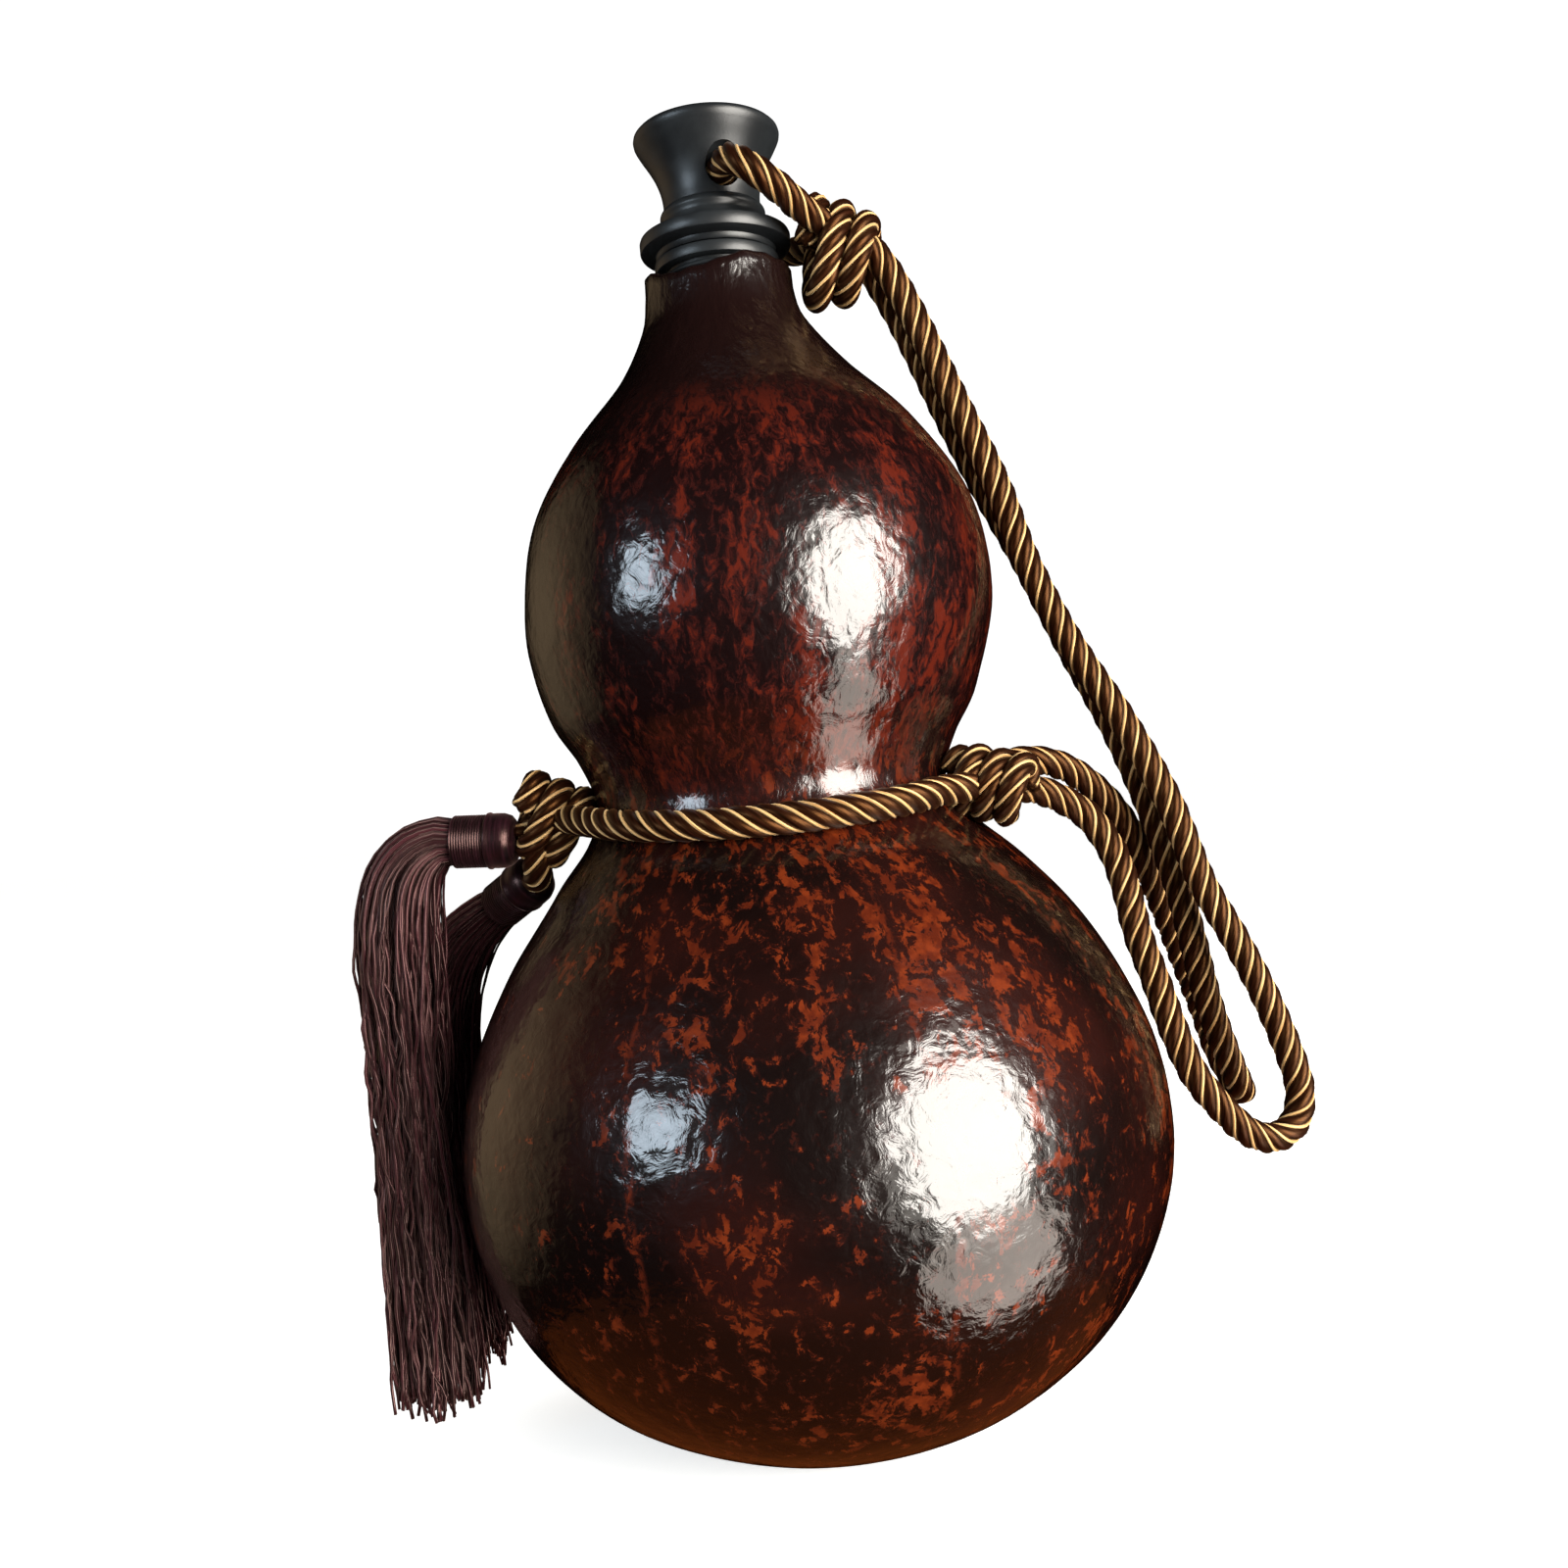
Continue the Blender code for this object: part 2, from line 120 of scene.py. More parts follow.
def carried_frames(line: np.ndarray) -> tuple[np.ndarray, np.ndarray, np.ndarray]:
    """Finds axes that travel along a line without twisting.

    Args:
        line: the line's points.

    Returns:
        The directions along, to the side and across at each point. Side x across is along.
    """
    along = unit(np.gradient(line, axis=0))
    helper = np.array([0.0, 0.0, 1.0]) if abs(along[0][2]) < 0.8 else np.array([0.0, 1.0, 0.0])
    side = np.empty_like(along)
    side[0] = unit(np.cross(along[0], helper))
    for i in range(1, len(line)):
        carried = side[i - 1] - along[i] * (side[i - 1] @ along[i])
        side[i] = unit(carried)
    return along, side, np.cross(along, side)


def turned(profile: np.ndarray, sides: int, axis_x: float = 0.0) -> np.ndarray:
    """The rings of points that (radius, height) pairs make when turned about an upright axis."""
    angle = np.linspace(0.0, TAU, sides, endpoint=False)
    radius, height = profile[:, :1], profile[:, 1:]
    places = (axis_x + radius * np.cos(angle), radius * np.sin(angle), height)
    return np.stack(np.broadcast_arrays(*places), axis=-1)


def tube(line: np.ndarray, out: np.ndarray, across: np.ndarray, radius: float, sides: int) -> np.ndarray:
    """The rings of points round a line, set out along its two cross axes."""
    angle = np.linspace(0.0, TAU, sides, endpoint=False)[None, :, None]
    return line[:, None] + radius * (np.cos(angle) * out[:, None] + np.sin(angle) * across[:, None])


@dataclass
class Sheet:
    """A mesh in the making: points in millimetres, faces, and each corner's place on the surface."""

    points: list[np.ndarray] = field(default_factory=list)
    quads: list[np.ndarray] = field(default_factory=list)
    fans: list[tuple[int, ...]] = field(default_factory=list)
    quad_uv: list[np.ndarray] = field(default_factory=list)
    quad_slot: list[np.ndarray] = field(default_factory=list)
    fan_slot: list[int] = field(default_factory=list)
    count: int = 0

    def add_rings(
        self, rings: np.ndarray, lengths: np.ndarray, slot: int = 0, capped: bool = True
    ) -> None:
        """Adds a skin over rings of points.

        Args:
            rings: the points as (ring, point on the ring, xyz), anticlockwise seen from the far end.
            lengths: how far along each ring is, for the surface coordinates.
            slot: which of the object's materials the skin takes.
            capped: whether to close both ends.
        """
        rows, columns = rings.shape[:2]
        numbers = self.count + np.arange(rows * columns).reshape(rows, columns)
        ahead = np.roll(numbers, -1, axis=1)
        quads = np.stack([numbers[:-1], ahead[:-1], ahead[1:], numbers[1:]], axis=-1).reshape(-1, 4)
        u = np.arange(columns) / columns
        v = np.broadcast_to(lengths[:, None], (rows, columns))
        low = np.broadcast_to(u, (rows, columns))
        high = low + 1.0 / columns
        corners = [(low[:-1], v[:-1]), (high[:-1], v[:-1]), (high[1:], v[1:]), (low[1:], v[1:])]
        uv = np.stack([np.stack(corner, axis=-1) for corner in corners], axis=2).reshape(-1, 4, 2)
        self.points.append(rings.reshape(-1, 3))
        self.quads.append(quads)
        self.quad_uv.append(uv)
        self.quad_slot.append(np.full(len(quads), slot))
        if capped:
            self.fans += [tuple(numbers[0][::-1].tolist()), tuple(numbers[-1].tolist())]
            self.fan_slot += [slot, slot]
        self.count += rows * columns

    def make(self, name: str, materials: Sequence[Material]) -> Piece:
        """Turns what was added into an object.

        Args:
            name: the object's name.
            materials: its materials, in the order of the slots used.

        Returns:
            The object, in the scene and smooth shaded.
        """
        quads = np.vstack(self.quads)
        mesh = bpy.data.meshes.new(name)
        mesh.from_pydata((np.vstack(self.points) * MM).tolist(), [], quads.tolist() + self.fans)
        for material in materials:
            mesh.materials.append(material)
        slots = np.concatenate([np.concatenate(self.quad_slot), np.array(self.fan_slot, int)])
        mesh.polygons.foreach_set("material_index", slots.astype(np.int32))
        surface = mesh.uv_layers.new(name="surface")
        flat = np.zeros((len(mesh.loops), 2), np.float32)
        flat[: len(quads) * 4] = np.vstack(self.quad_uv).reshape(-1, 2)
        surface.data.foreach_set("uv", flat.ravel())
        mesh.shade_smooth()
        mesh.update()
        obj = bpy.data.objects.new(name, mesh)
        bpy.context.scene.collection.objects.link(obj)
        return obj


def settle(piece: Piece, slot: Slot, *nodes: str) -> Piece:
    """Joins a finished piece to the frame.

    Args:
        piece: the piece, in its place.
        slot: the record's material slot that it stands for; not used.
        nodes: the CAD nodes that it stands for.

    Returns:
        The same piece.
    """
    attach(piece, BODY)
    if nodes:
        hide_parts(*nodes)
    log.info("%s: %d faces", piece.name, len(piece.data.polygons))
    return piece


# --------------------------------------------------------------------------- finishes


def linear(hex_colour: str) -> tuple[float, float, float, float]:
    """An sRGB hex colour such as '8c3a1a' as the linear colour that a shader takes."""
    channels = [int(hex_colour[i : i + 2], 16) / 255.0 for i in (0, 2, 4)]
    return (*[c / 12.92 if c <= 0.04045 else ((c + 0.055) / 1.055) ** 2.4 for c in channels], 1.0)


@dataclass
class Wiring:
    """A material's node tree, and the one way that nodes are put in it."""

    material: Material
    shader: bpy.types.Node = None

    @classmethod
    def begin(cls, name: str) -> "Wiring":
        """Starts a material that holds only its shader and output."""
        material = bpy.data.materials.new(name)
        material.use_nodes = True
        return cls(material, material.node_tree.nodes["Principled BSDF"])

    def node(self, kind: str, inputs: dict | None = None, **settings: object) -> bpy.types.Node:
        """Adds a node.

        Args:
            kind: the node's type name, without 'ShaderNode'.
            inputs: socket name or number to its value, or to the output socket that feeds it.
            settings: the node's own properties.

        Returns:
            The new node.
        """
        made = self.material.node_tree.nodes.new("ShaderNode" + kind)
        for name, value in settings.items():
            setattr(made, name, value)
        self.feed(made, inputs or {})
        return made

    def feed(self, made: bpy.types.Node, inputs: dict) -> None:
        """Sets or links a node's inputs, as node() takes them."""
        for socket, value in inputs.items():
            if isinstance(value, Socket):
                self.material.node_tree.links.new(value, made.inputs[socket])
            else:
                made.inputs[socket].default_value = value

    def sum_of(self, *terms: tuple[Socket, float]) -> Socket:
        """Adds up outputs, each with its weight."""
        total = None
        for output, weight in terms:
            inputs = {0: output, 1: weight, 2: 0.0 if total is None else total}
            total = self.node("Math", inputs, operation="MULTIPLY_ADD").outputs[0]
        return total

    def steps(self, value: Socket, low: float, high: float) -> Socket:
        """A smooth mask: 0 where value is under low, 1 where it is over high."""
        inputs = {"Value": value, "From Min": low, "From Max": high}
        return self.node("MapRange", inputs, interpolation_type="SMOOTHSTEP").outputs[0]

    def blend(self, share: Socket, first: Socket | tuple, second: Socket | tuple) -> Socket:
        """Mixes two colours: the first where share is 0, and the second where it is 1."""
        mixed = self.node("Mix", data_type="RGBA")
        self.feed(mixed, {0: share, 6: first, 7: second})
        return mixed.outputs[2]

    def maths(self, operation: str, first: Socket | float, second: Socket | float = 0.0) -> Socket:
        """One sum on one or two values."""
        return self.node("Math", {0: first, 1: second}, operation=operation).outputs[0]

    def noise(self, place: Socket, size: float, detail: float, **more: float) -> Socket:
        """Noise whose features are about that size, in the units of place."""
        inputs = {"Vector": place, "Scale": 1.0 / size, "Detail": detail}
        return self.node("TexNoise", inputs | more).outputs[0]


@dataclass(frozen=True)
class LacqueredRind:
    """Gourd rind stained by hand and finished with clear lacquer.

    The stain sits in the rind's growth marks, so the eye sees rust islands with torn edges on a
    near-black ground, drawn out from stem to foot. The lacquer over it is smooth but for a fine
    wrinkle, which breaks up the edges of its reflections.
    """

    ground: str = "0d0504"
    ground_red: str = "200a07"
    halo: str = "260b06"
    rust: str = "441507"
    rust_light: str = "60230b"
    lobe_ground: str = "100505"
    crimson: str = "2a0c09"
    crimson_light: str = "481409"
    neck: str = "140807"
    island_mm: float = 2.7  # across an island on the belly
    speck_mm: float = 1.2
    chain_mm: float = 11.0  # across a chain of islands, which runs from the waist to the foot
    drift_mm: float = 30.0  # over which the islands thicken and thin out
    tone_mm: float = 2.4  # across a lighter or darker patch of rust
    rust_edge: tuple[float, float] = (0.968, 0.986)  # close together, so the islands' edges are torn
    wrinkle_mm: float = 2.7
    wrinkle_depth_mm: float = 0.09
    waves_per_mm: float = 0.22
    growth_lines_deg: tuple[float, ...] = (-117.0, -74.0, 40.0, 130.0)
    growth_line_shift: float = 0.095  # radians, which undoes the mean of the noise that bends a line
    belly_stained: tuple[float, float] = (-44.0, -12.0)  # along X, from hardly stained to well stained
    lobe_stained: tuple[float, float] = (-34.0, 4.0)
    lobe_heights: tuple[float, float] = (90.0, 112.0)  # between which the belly's stain gives way
    neck_heights: tuple[float, float] = (154.0, 170.0)

    def make(self) -> Material:
        """Wires the finish."""
        w = Wiring.begin("lacquered_rind")
        place = w.node("Attribute", attribute_name="rind").outputs["Vector"]
        spot = w.node("SeparateXYZ", {0: w.node("Attribute", attribute_name="spot").outputs["Vector"]})
        x, y, height = spot.outputs

        def mottle(size_mm: float, detail: float, rough: float, warp: float, drawn: float) -> Socket:
            """Noise with islands about that size, drawn out lengthways by a factor."""
            along = w.node("Mapping", {"Vector": place, "Scale": (1.0, 1.0, 1.0 / drawn)}).outputs[0]
            return w.noise(along, size_mm, detail, Roughness=rough, Distortion=warp)

        drift = mottle(self.drift_mm, 2.0, 0.5, 0.0, 1.0)
        specks = mottle(self.speck_mm, 4.0, 0.65, 0.4, 1.3)
        belly = self.belly(w, mottle, drift, specks, w.steps(x, *self.belly_stained))
        belly = self.growth_lines(w, belly, w.maths("ARCTAN2", y, x), drift, specks)
        streaks = mottle(self.island_mm * 0.62, 6.0, 0.72, 0.7, 1.7)
        chains = mottle(self.chain_mm * 0.7, 2.0, 0.5, 0.0, 3.2)
        stained = w.steps(x, *self.lobe_stained)
        value = w.sum_of((streaks, 1.0), (chains, 0.5), (drift, 0.25), (stained, 0.07))
        lobe = w.blend(w.steps(value, 0.88, 1.0), linear(self.lobe_ground), linear(self.crimson))
        lobe = w.blend(w.steps(value, 1.0, 1.05), lobe, linear(self.crimson_light))
        colour = w.blend(w.steps(height, *self.lobe_heights), belly, lobe)
        top = w.steps(w.sum_of((height, 1.0), (drift, 14.0)), *self.neck_heights)
        colour = w.blend(top, colour, linear(self.neck))
        bump = self.wrinkles(w, place)
        looks = {"Base Color": colour, "Roughness": 0.36, "IOR": 1.5, "Specular IOR Level": 0.1}
        looks |= {"Coat Weight": 1.0, "Coat Roughness": 0.055, "Coat IOR": 1.54}
        w.feed(w.shader, looks | {"Normal": bump, "Coat Normal": bump})
        return w.material

    def belly(self, w: Wiring, mottle: Callable, drift: Socket, specks: Socket, stained: Socket) -> Socket:
        """The belly's stain: rust islands in chains, a darker red round them, and red specks.

        Args:
            w: the material's wiring.
            mottle: makes noise of a size.
            drift: the slow noise over which the stain thickens and thins out.
            specks: the fine noise.
            stained: 1 on the well-stained side and 0 where little stain took.

        Returns:
            The colour.
        """
        islands = mottle(self.island_mm, 6.0, 0.7, 0.45, 1.3)
        chains = mottle(self.chain_mm, 2.0, 0.5, 0.0, 3.0)
        value = w.sum_of((islands, 1.0), (chains, 0.38), (drift, 0.12), (stained, 0.09))
        ground = w.blend(w.steps(drift, 0.4, 0.62), linear(self.ground), linear(self.ground_red))
        ground = w.blend(w.steps(specks, 0.58, 0.66), ground, linear(self.halo))
        colour = w.blend(w.steps(value, 0.83, 0.92), ground, linear(self.halo))
        tone = mottle(self.tone_mm, 4.0, 0.6, 0.0, 1.0)
        rust = w.blend(w.steps(tone, 0.4, 0.64), linear(self.rust), linear(self.rust_light))
        return w.blend(w.steps(w.sum_of((value, 1.0), (specks, 0.14)), *self.rust_edge), colour, rust)

    def growth_lines(self, w: Wiring, under: Socket, angle: Socket, drift: Socket, specks: Socket) -> Socket:
        """Thin red lines from stem to foot, where the rind's ribs rub through the stain."""
        colour = under
        for degrees in self.growth_lines_deg:
            wavy = w.sum_of((angle, 1.0), (drift, 0.16), (specks, 0.03))
            away = w.maths("SUBTRACT", wavy, math.radians(degrees) + self.growth_line_shift)
            near = w.maths("SUBTRACT", 1.0, w.steps(w.maths("ABSOLUTE", away), 0.003, 0.018))
            worn = w.maths("MULTIPLY", near, w.steps(specks, 0.42, 0.62))
            colour = w.blend(worn, colour, linear(self.rust))
        return colour

    def wrinkles(self, w: Wiring, place: Socket) -> Socket:
        """The lacquer's fine wrinkle over slower waves."""
        creases = w.noise(place, self.wrinkle_mm, 4.0, Distortion=1.6, Roughness=0.58)
        waves = w.noise(place, 1.0 / self.waves_per_mm, 2.0)
        relief = w.sum_of((creases, 1.0), (waves, 3.0))
        inputs = {"Strength": 1.0, "Distance": self.wrinkle_depth_mm * MM, "Height": relief}
        return w.node("Bump", inputs).outputs[0]


@dataclass(frozen=True)
class MouldedPlastic:
    """Charcoal polypropylene from a fine-sparked mould, so its highlights are broad and soft."""

    name: str = "charcoal_polypropylene"
    colour: str = "16181a"
    worn: str = "1f2224"
    cloud_mm: float = 6.0  # across a patch where handling has polished it
    grain_mm: float = 0.25
    grain_depth_mm: float = 0.02
    roughness: float = 0.36

    def make(self) -> Material:
        """Wires the finish."""
        w = Wiring.begin(self.name)
        place = w.node("TexCoord").outputs["Object"]
        clouds = w.noise(place, self.cloud_mm * MM, 4.0)
        grain = w.noise(place, self.grain_mm * MM, 2.0)
        colour = w.blend(w.steps(clouds, 0.35, 0.7), linear(self.colour), linear(self.worn))
        rough = w.maths("ADD", w.sum_of((clouds, 0.16), (grain, 0.06)), self.roughness - 0.1)
        inputs = {"Strength": 0.5, "Distance": self.grain_depth_mm * MM, "Height": grain}
        bump = w.node("Bump", inputs).outputs[0]
        w.feed(w.shader, {"Base Color": colour, "Roughness": rough, "IOR": 1.49, "Normal": bump})
        return w.material


@dataclass(frozen=True)
class SpunSilk:
    """Floss silk laid side by side, which shines in streaks along its filaments."""

    name: str
    dark: str
    light: str
    glint: str
    streaks: float = 26.0  # filaments seen round a strand
    streak_mm: float = 9.0  # how far one runs before it dives under its neighbours
    roughness: float = 0.42
    sheen: float = 0.35
    relief_mm: float = 0.05

    def make(self) -> Material:
        """Wires the finish."""
        w = Wiring.begin(self.name)
        surface = w.node("UVMap", uv_map="surface").outputs[0]
        stretch = (self.streaks, 1.0 / self.streak_mm, 1.0)
        along = w.node("Mapping", {"Vector": surface, "Scale": stretch}).outputs[0]
        filaments = w.noise(along, 1.0, 3.0, Roughness=0.6)
        colour = w.blend(w.steps(filaments, 0.35, 0.68), linear(self.dark), linear(self.light))
        inputs = {"Strength": 1.0, "Distance": self.relief_mm * MM, "Height": filaments}
        bump = w.node("Bump", inputs).outputs[0]
        looks = {"Base Color": colour, "Roughness": self.roughness, "IOR": 1.54, "Normal": bump}
        looks |= {"Specular Tint": linear(self.glint), "Sheen Tint": linear(self.glint)}
        w.feed(w.shader, looks | {"Sheen Weight": self.sheen, "Sheen Roughness": 0.35})
        return w.material


# The strands are laid tight, so they look smooth and catch one warm streak each.
BROWN_FLOSS = SpunSilk("brown_floss_silk", "070201", "271008", "c88850", sheen=0.08, roughness=0.36)
# A thin bright thread in each groove, which draws the cord's twist.
PALE_GOLD = SpunSilk("pale_gold_thread", "966a3c", "dcb67c", "fff0c8", streaks=6.0, relief_mm=0.02)
# Loose threads that run down the tassel, with pink glints along them on near-black.
TASSEL_THREADS = SpunSilk(
    "plum_tassel_silk", "060203", "3c1c21", "f6c4bc", 0.7, 70.0, roughness=0.3, sheen=0.25
)
# The same silk wound round, so its streaks run across the head.
HEAD_WINDING = SpunSilk(
    "wound_plum_silk", "060203", "260f16", "f6c4bc", 2.0, 0.5, roughness=0.34, sheen=0.25
)


@dataclass(frozen=True)
class PaintedFloor:
    """A plain pale floor, rolled with matt paint."""

    colour: str = "fdfdfc"
    glow: float = 0.6  # lifts the floor to the room's own white, so that no horizon shows
    stipples_per_m: float = 900.0
    stipple_depth_mm: float = 0.05

    def make(self) -> Material:
        """Wires the finish."""
        w = Wiring.begin("matt_floor_paint")
        place = w.node("TexCoord").outputs["Object"]
        stipple = w.noise(place, 1.0 / self.stipples_per_m, 2.0)
        inputs = {"Strength": 0.2, "Distance": self.stipple_depth_mm * MM, "Height": stipple}
        bump = w.node("Bump", inputs).outputs[0]
        looks = {"Base Color": linear(self.colour), "Roughness": 0.9, "Specular IOR Level": 0.1}
        looks |= {"Emission Color": linear(self.colour), "Emission Strength": self.glow}
        w.feed(w.shader, looks | {"Normal": bump})
        return w.material


# --------------------------------------------------------------------------- the gourd


@dataclass
class GourdShell:
    """The dried gourd in one piece: belly, waist, upper lobe and neck, open at its cut mouth."""

    outline: tuple[tuple[float, float], ...] = (
        (12.0, 0.0), (24.6, 2.7), (39.0, 11.0), (49.2, 23.5), (54.4, 39.0), (53.4, 56.0),
        (46.2, 72.5), (36.8, 85.3), (30.2, 92.5), (27.6, 98.5), (29.6, 105.0), (33.7, 112.5),
        (36.8, 126.0), (34.8, 141.0), (27.6, 153.5), (18.3, 164.0), (13.2, 172.0),
        (11.9, 177.0), (11.7, 181.0),
    )  # (radius, height)
    bends: tuple[tuple[float, float, float], ...] = (
        (78.0, 102.0, -2.5),
        (108.0, 135.0, 0.9),
        (155.0, 178.0, -1.9),
    )  # (from height, to height, shift along X)
    swells: tuple[tuple[int, float, float, float], ...] = (
        (3, 0.22, 0.010, 0.4),
        (5, 0.12, -0.014, 1.9),
        (8, 0.07, 0.02, 2.8),
    )  # (ribs, size, twist in radians for each mm, start)
    lump: float = 0.16
    lump_mm: float = 15.0
    lumps_round: float = 2.6  # the radius of the noise's circle, which sets how many go round
    crease: float = 0.16
    crease_angle: float = math.radians(-117)
    crease_width: float = 1.6
    wall: float = 2.6
    mouth_height: float = 181.0
    mouth_dip: float = 1.7
    mouth_dip_angle: float = math.radians(-122)
    mouth_dip_from: float = 168.0
    row_mm: float = 1.5
    inner_row_mm: float = 5.0
    segments: int = 216
    mean_radius: float = 46.0

    def lean(self, height: np.ndarray) -> np.ndarray:
        """How far the middle line stands from the Z axis, along X."""
        return sum(shift * ease(height, start, end) for start, end, shift in self.bends)

    def unevenness(self, height: np.ndarray, angle: np.ndarray) -> np.ndarray:
        """How far the skin stands out from a turned shape, as a grown thing does.

        Args:
            height: the height of each row.
            angle: the angle of each column.

        Returns:
            The distance for each row and column.
        """
        rows, columns = np.meshgrid(height, angle, indexing="ij")
        swell = np.zeros_like(rows)
        for ribs, size, twist, start in self.swells:
            swell += size * np.sin(ribs * columns + start + twist * rows)
        lumps = np.empty_like(rows)
        for i, j in np.ndindex(rows.shape):
            turn = columns[i, j]
            x, y = self.lumps_round * math.cos(turn), self.lumps_round * math.sin(turn)
            spot = Vector((x, y, rows[i, j] / self.lump_mm))
            lumps[i, j] = noise.fractal(spot, 1.0, 2.1, 4)
        centre = self.crease_angle + 0.02 * np.sin(rows / 9.0)
        crease = np.exp(-(((columns - centre) * self.mean_radius / self.crease_width) ** 2))
        crease *= ease(rows, 14.0, 30.0) * (1.0 - ease(rows, 66.0, 80.0))
        fade = ease(rows, 0.5, 9.0) * (1.0 - ease(rows, 164.0, 176.0))
        return (swell + self.lump * lumps + self.crease * crease) * fade

    def rings(self, outline: np.ndarray, angle: np.ndarray, skin: np.ndarray) -> np.ndarray:
        """Sets the outline round the bent middle line.

        Args:
            outline: (radius, height) pairs.
            angle: the angles to set them at.
            skin: an extra distance outwards for each row and column.

        Returns:
            The points, as (row, column, xyz).
        """
        radius, height = outline[:, :1], outline[:, 1:]
        reach = radius + skin
        x = self.lean(height) + reach * np.cos(angle)
        y = reach * np.sin(angle)
        facing = np.clip(np.cos(angle - self.mouth_dip_angle), 0.0, None) ** 7
        ragged = 0.35 * np.sin(3 * angle + 0.7) + 0.2 * np.sin(7 * angle) + 0.12 * np.sin(17 * angle)
        cut = (self.mouth_dip * facing + 0.5 + ragged) * ease(height, self.mouth_dip_from, self.mouth_height)
        return np.stack([x, y, height - cut], axis=-1)

    def build(self, finish: Material) -> Piece:
        """Builds the shell as one closed wall, fine outside and plainer inside.

        Args:
            finish: the rind's material.

        Returns:
            The shell.
        """
        angle = np.linspace(0.0, TAU, self.segments, endpoint=False) - math.pi
        outside = spaced(smooth_curve(self.outline, 24), self.row_mm)
        before = [self.inner_wall(outside), self.rim(outside[-1, 0])]
        outside[-1, 1] -= 0.4
        foot = [(8.0, 0.0), (4.0, 0.0), (0.6, 0.0)]
        profile = np.vstack([*before, outside[::-1], foot])
        skin = np.zeros((len(profile), self.segments))
        first = sum(len(part) for part in before)
        skin[first : first + len(outside)] = self.unevenness(outside[:, 1], angle)[::-1]
        sheet = Sheet()
        sheet.add_rings(self.rings(profile, angle, skin)[:, ::-1], travelled(profile))
        shell = sheet.make("gourd_skin", [finish])
        self.mark(shell, profile, angle)
        return settle(shell, Slot.RIND, "gourd_shell")

    def inner_wall(self, outside: np.ndarray) -> np.ndarray:
        """The inside's (radius, height) pairs, from the middle of its floor up to the mouth."""
        slope = unit(np.gradient(outside, axis=0))
        inwards = np.column_stack([-slope[:, 1], slope[:, 0]])
        step = max(1, round(self.inner_row_mm / self.row_mm))
        inside = (outside + self.wall * inwards)[step * 2 :: step]
        inside = inside[inside[:, 1] < self.mouth_dip_from]
        floor = [(0.6, self.wall), (6.0, self.wall + 0.05), (11.0, self.wall + 0.4)]
        bore = outside[-1, 0] - self.wall
        top = [(bore + 0.6, 173.0), (bore, self.mouth_height - 1.5), (bore, self.mouth_height - 0.3)]
        return np.vstack([floor, inside, top])

    def rim(self, reach: float) -> np.ndarray:
        """The cut rim's (radius, height) pairs, outwards. Its outer edge is at that reach."""
        bore = reach - self.wall
        crest = (bore + self.wall / 2, self.mouth_height + 0.12)
        return np.array([(bore + 0.35, self.mouth_height), crest, (reach - 0.35, self.mouth_height)])

    def mark(self, shell: Piece, profile: np.ndarray, angle: np.ndarray) -> None:
        """Stores where on the grown skin each point is, which the stain's pattern follows.

        Args:
            shell: the shell, made from rows of the profile.
            profile: its (radius, height) pairs.
            angle: the angles of its columns.
        """
        reach = (0.55 * self.mean_radius + 0.45 * profile[:, 0])[:, None]
        backwards = angle[::-1]
        around, across = np.cos(backwards), np.sin(backwards)
        radius, height = profile[:, :1], profile[:, 1:]
        along = np.broadcast_to(-travelled(profile)[:, None], (len(profile), len(backwards)))
        rind = np.stack([reach * around, reach * across, along], axis=-1)
        spot = np.stack(np.broadcast_arrays(radius * around, radius * across, height), axis=-1)
        for name, values in (("rind", rind), ("spot", spot)):
            layer = shell.data.attributes.new(name, "FLOAT_VECTOR", "POINT")
            layer.data.foreach_set("vector", values.astype(np.float32).ravel())


# --------------------------------------------------------------------------- stopper and bush


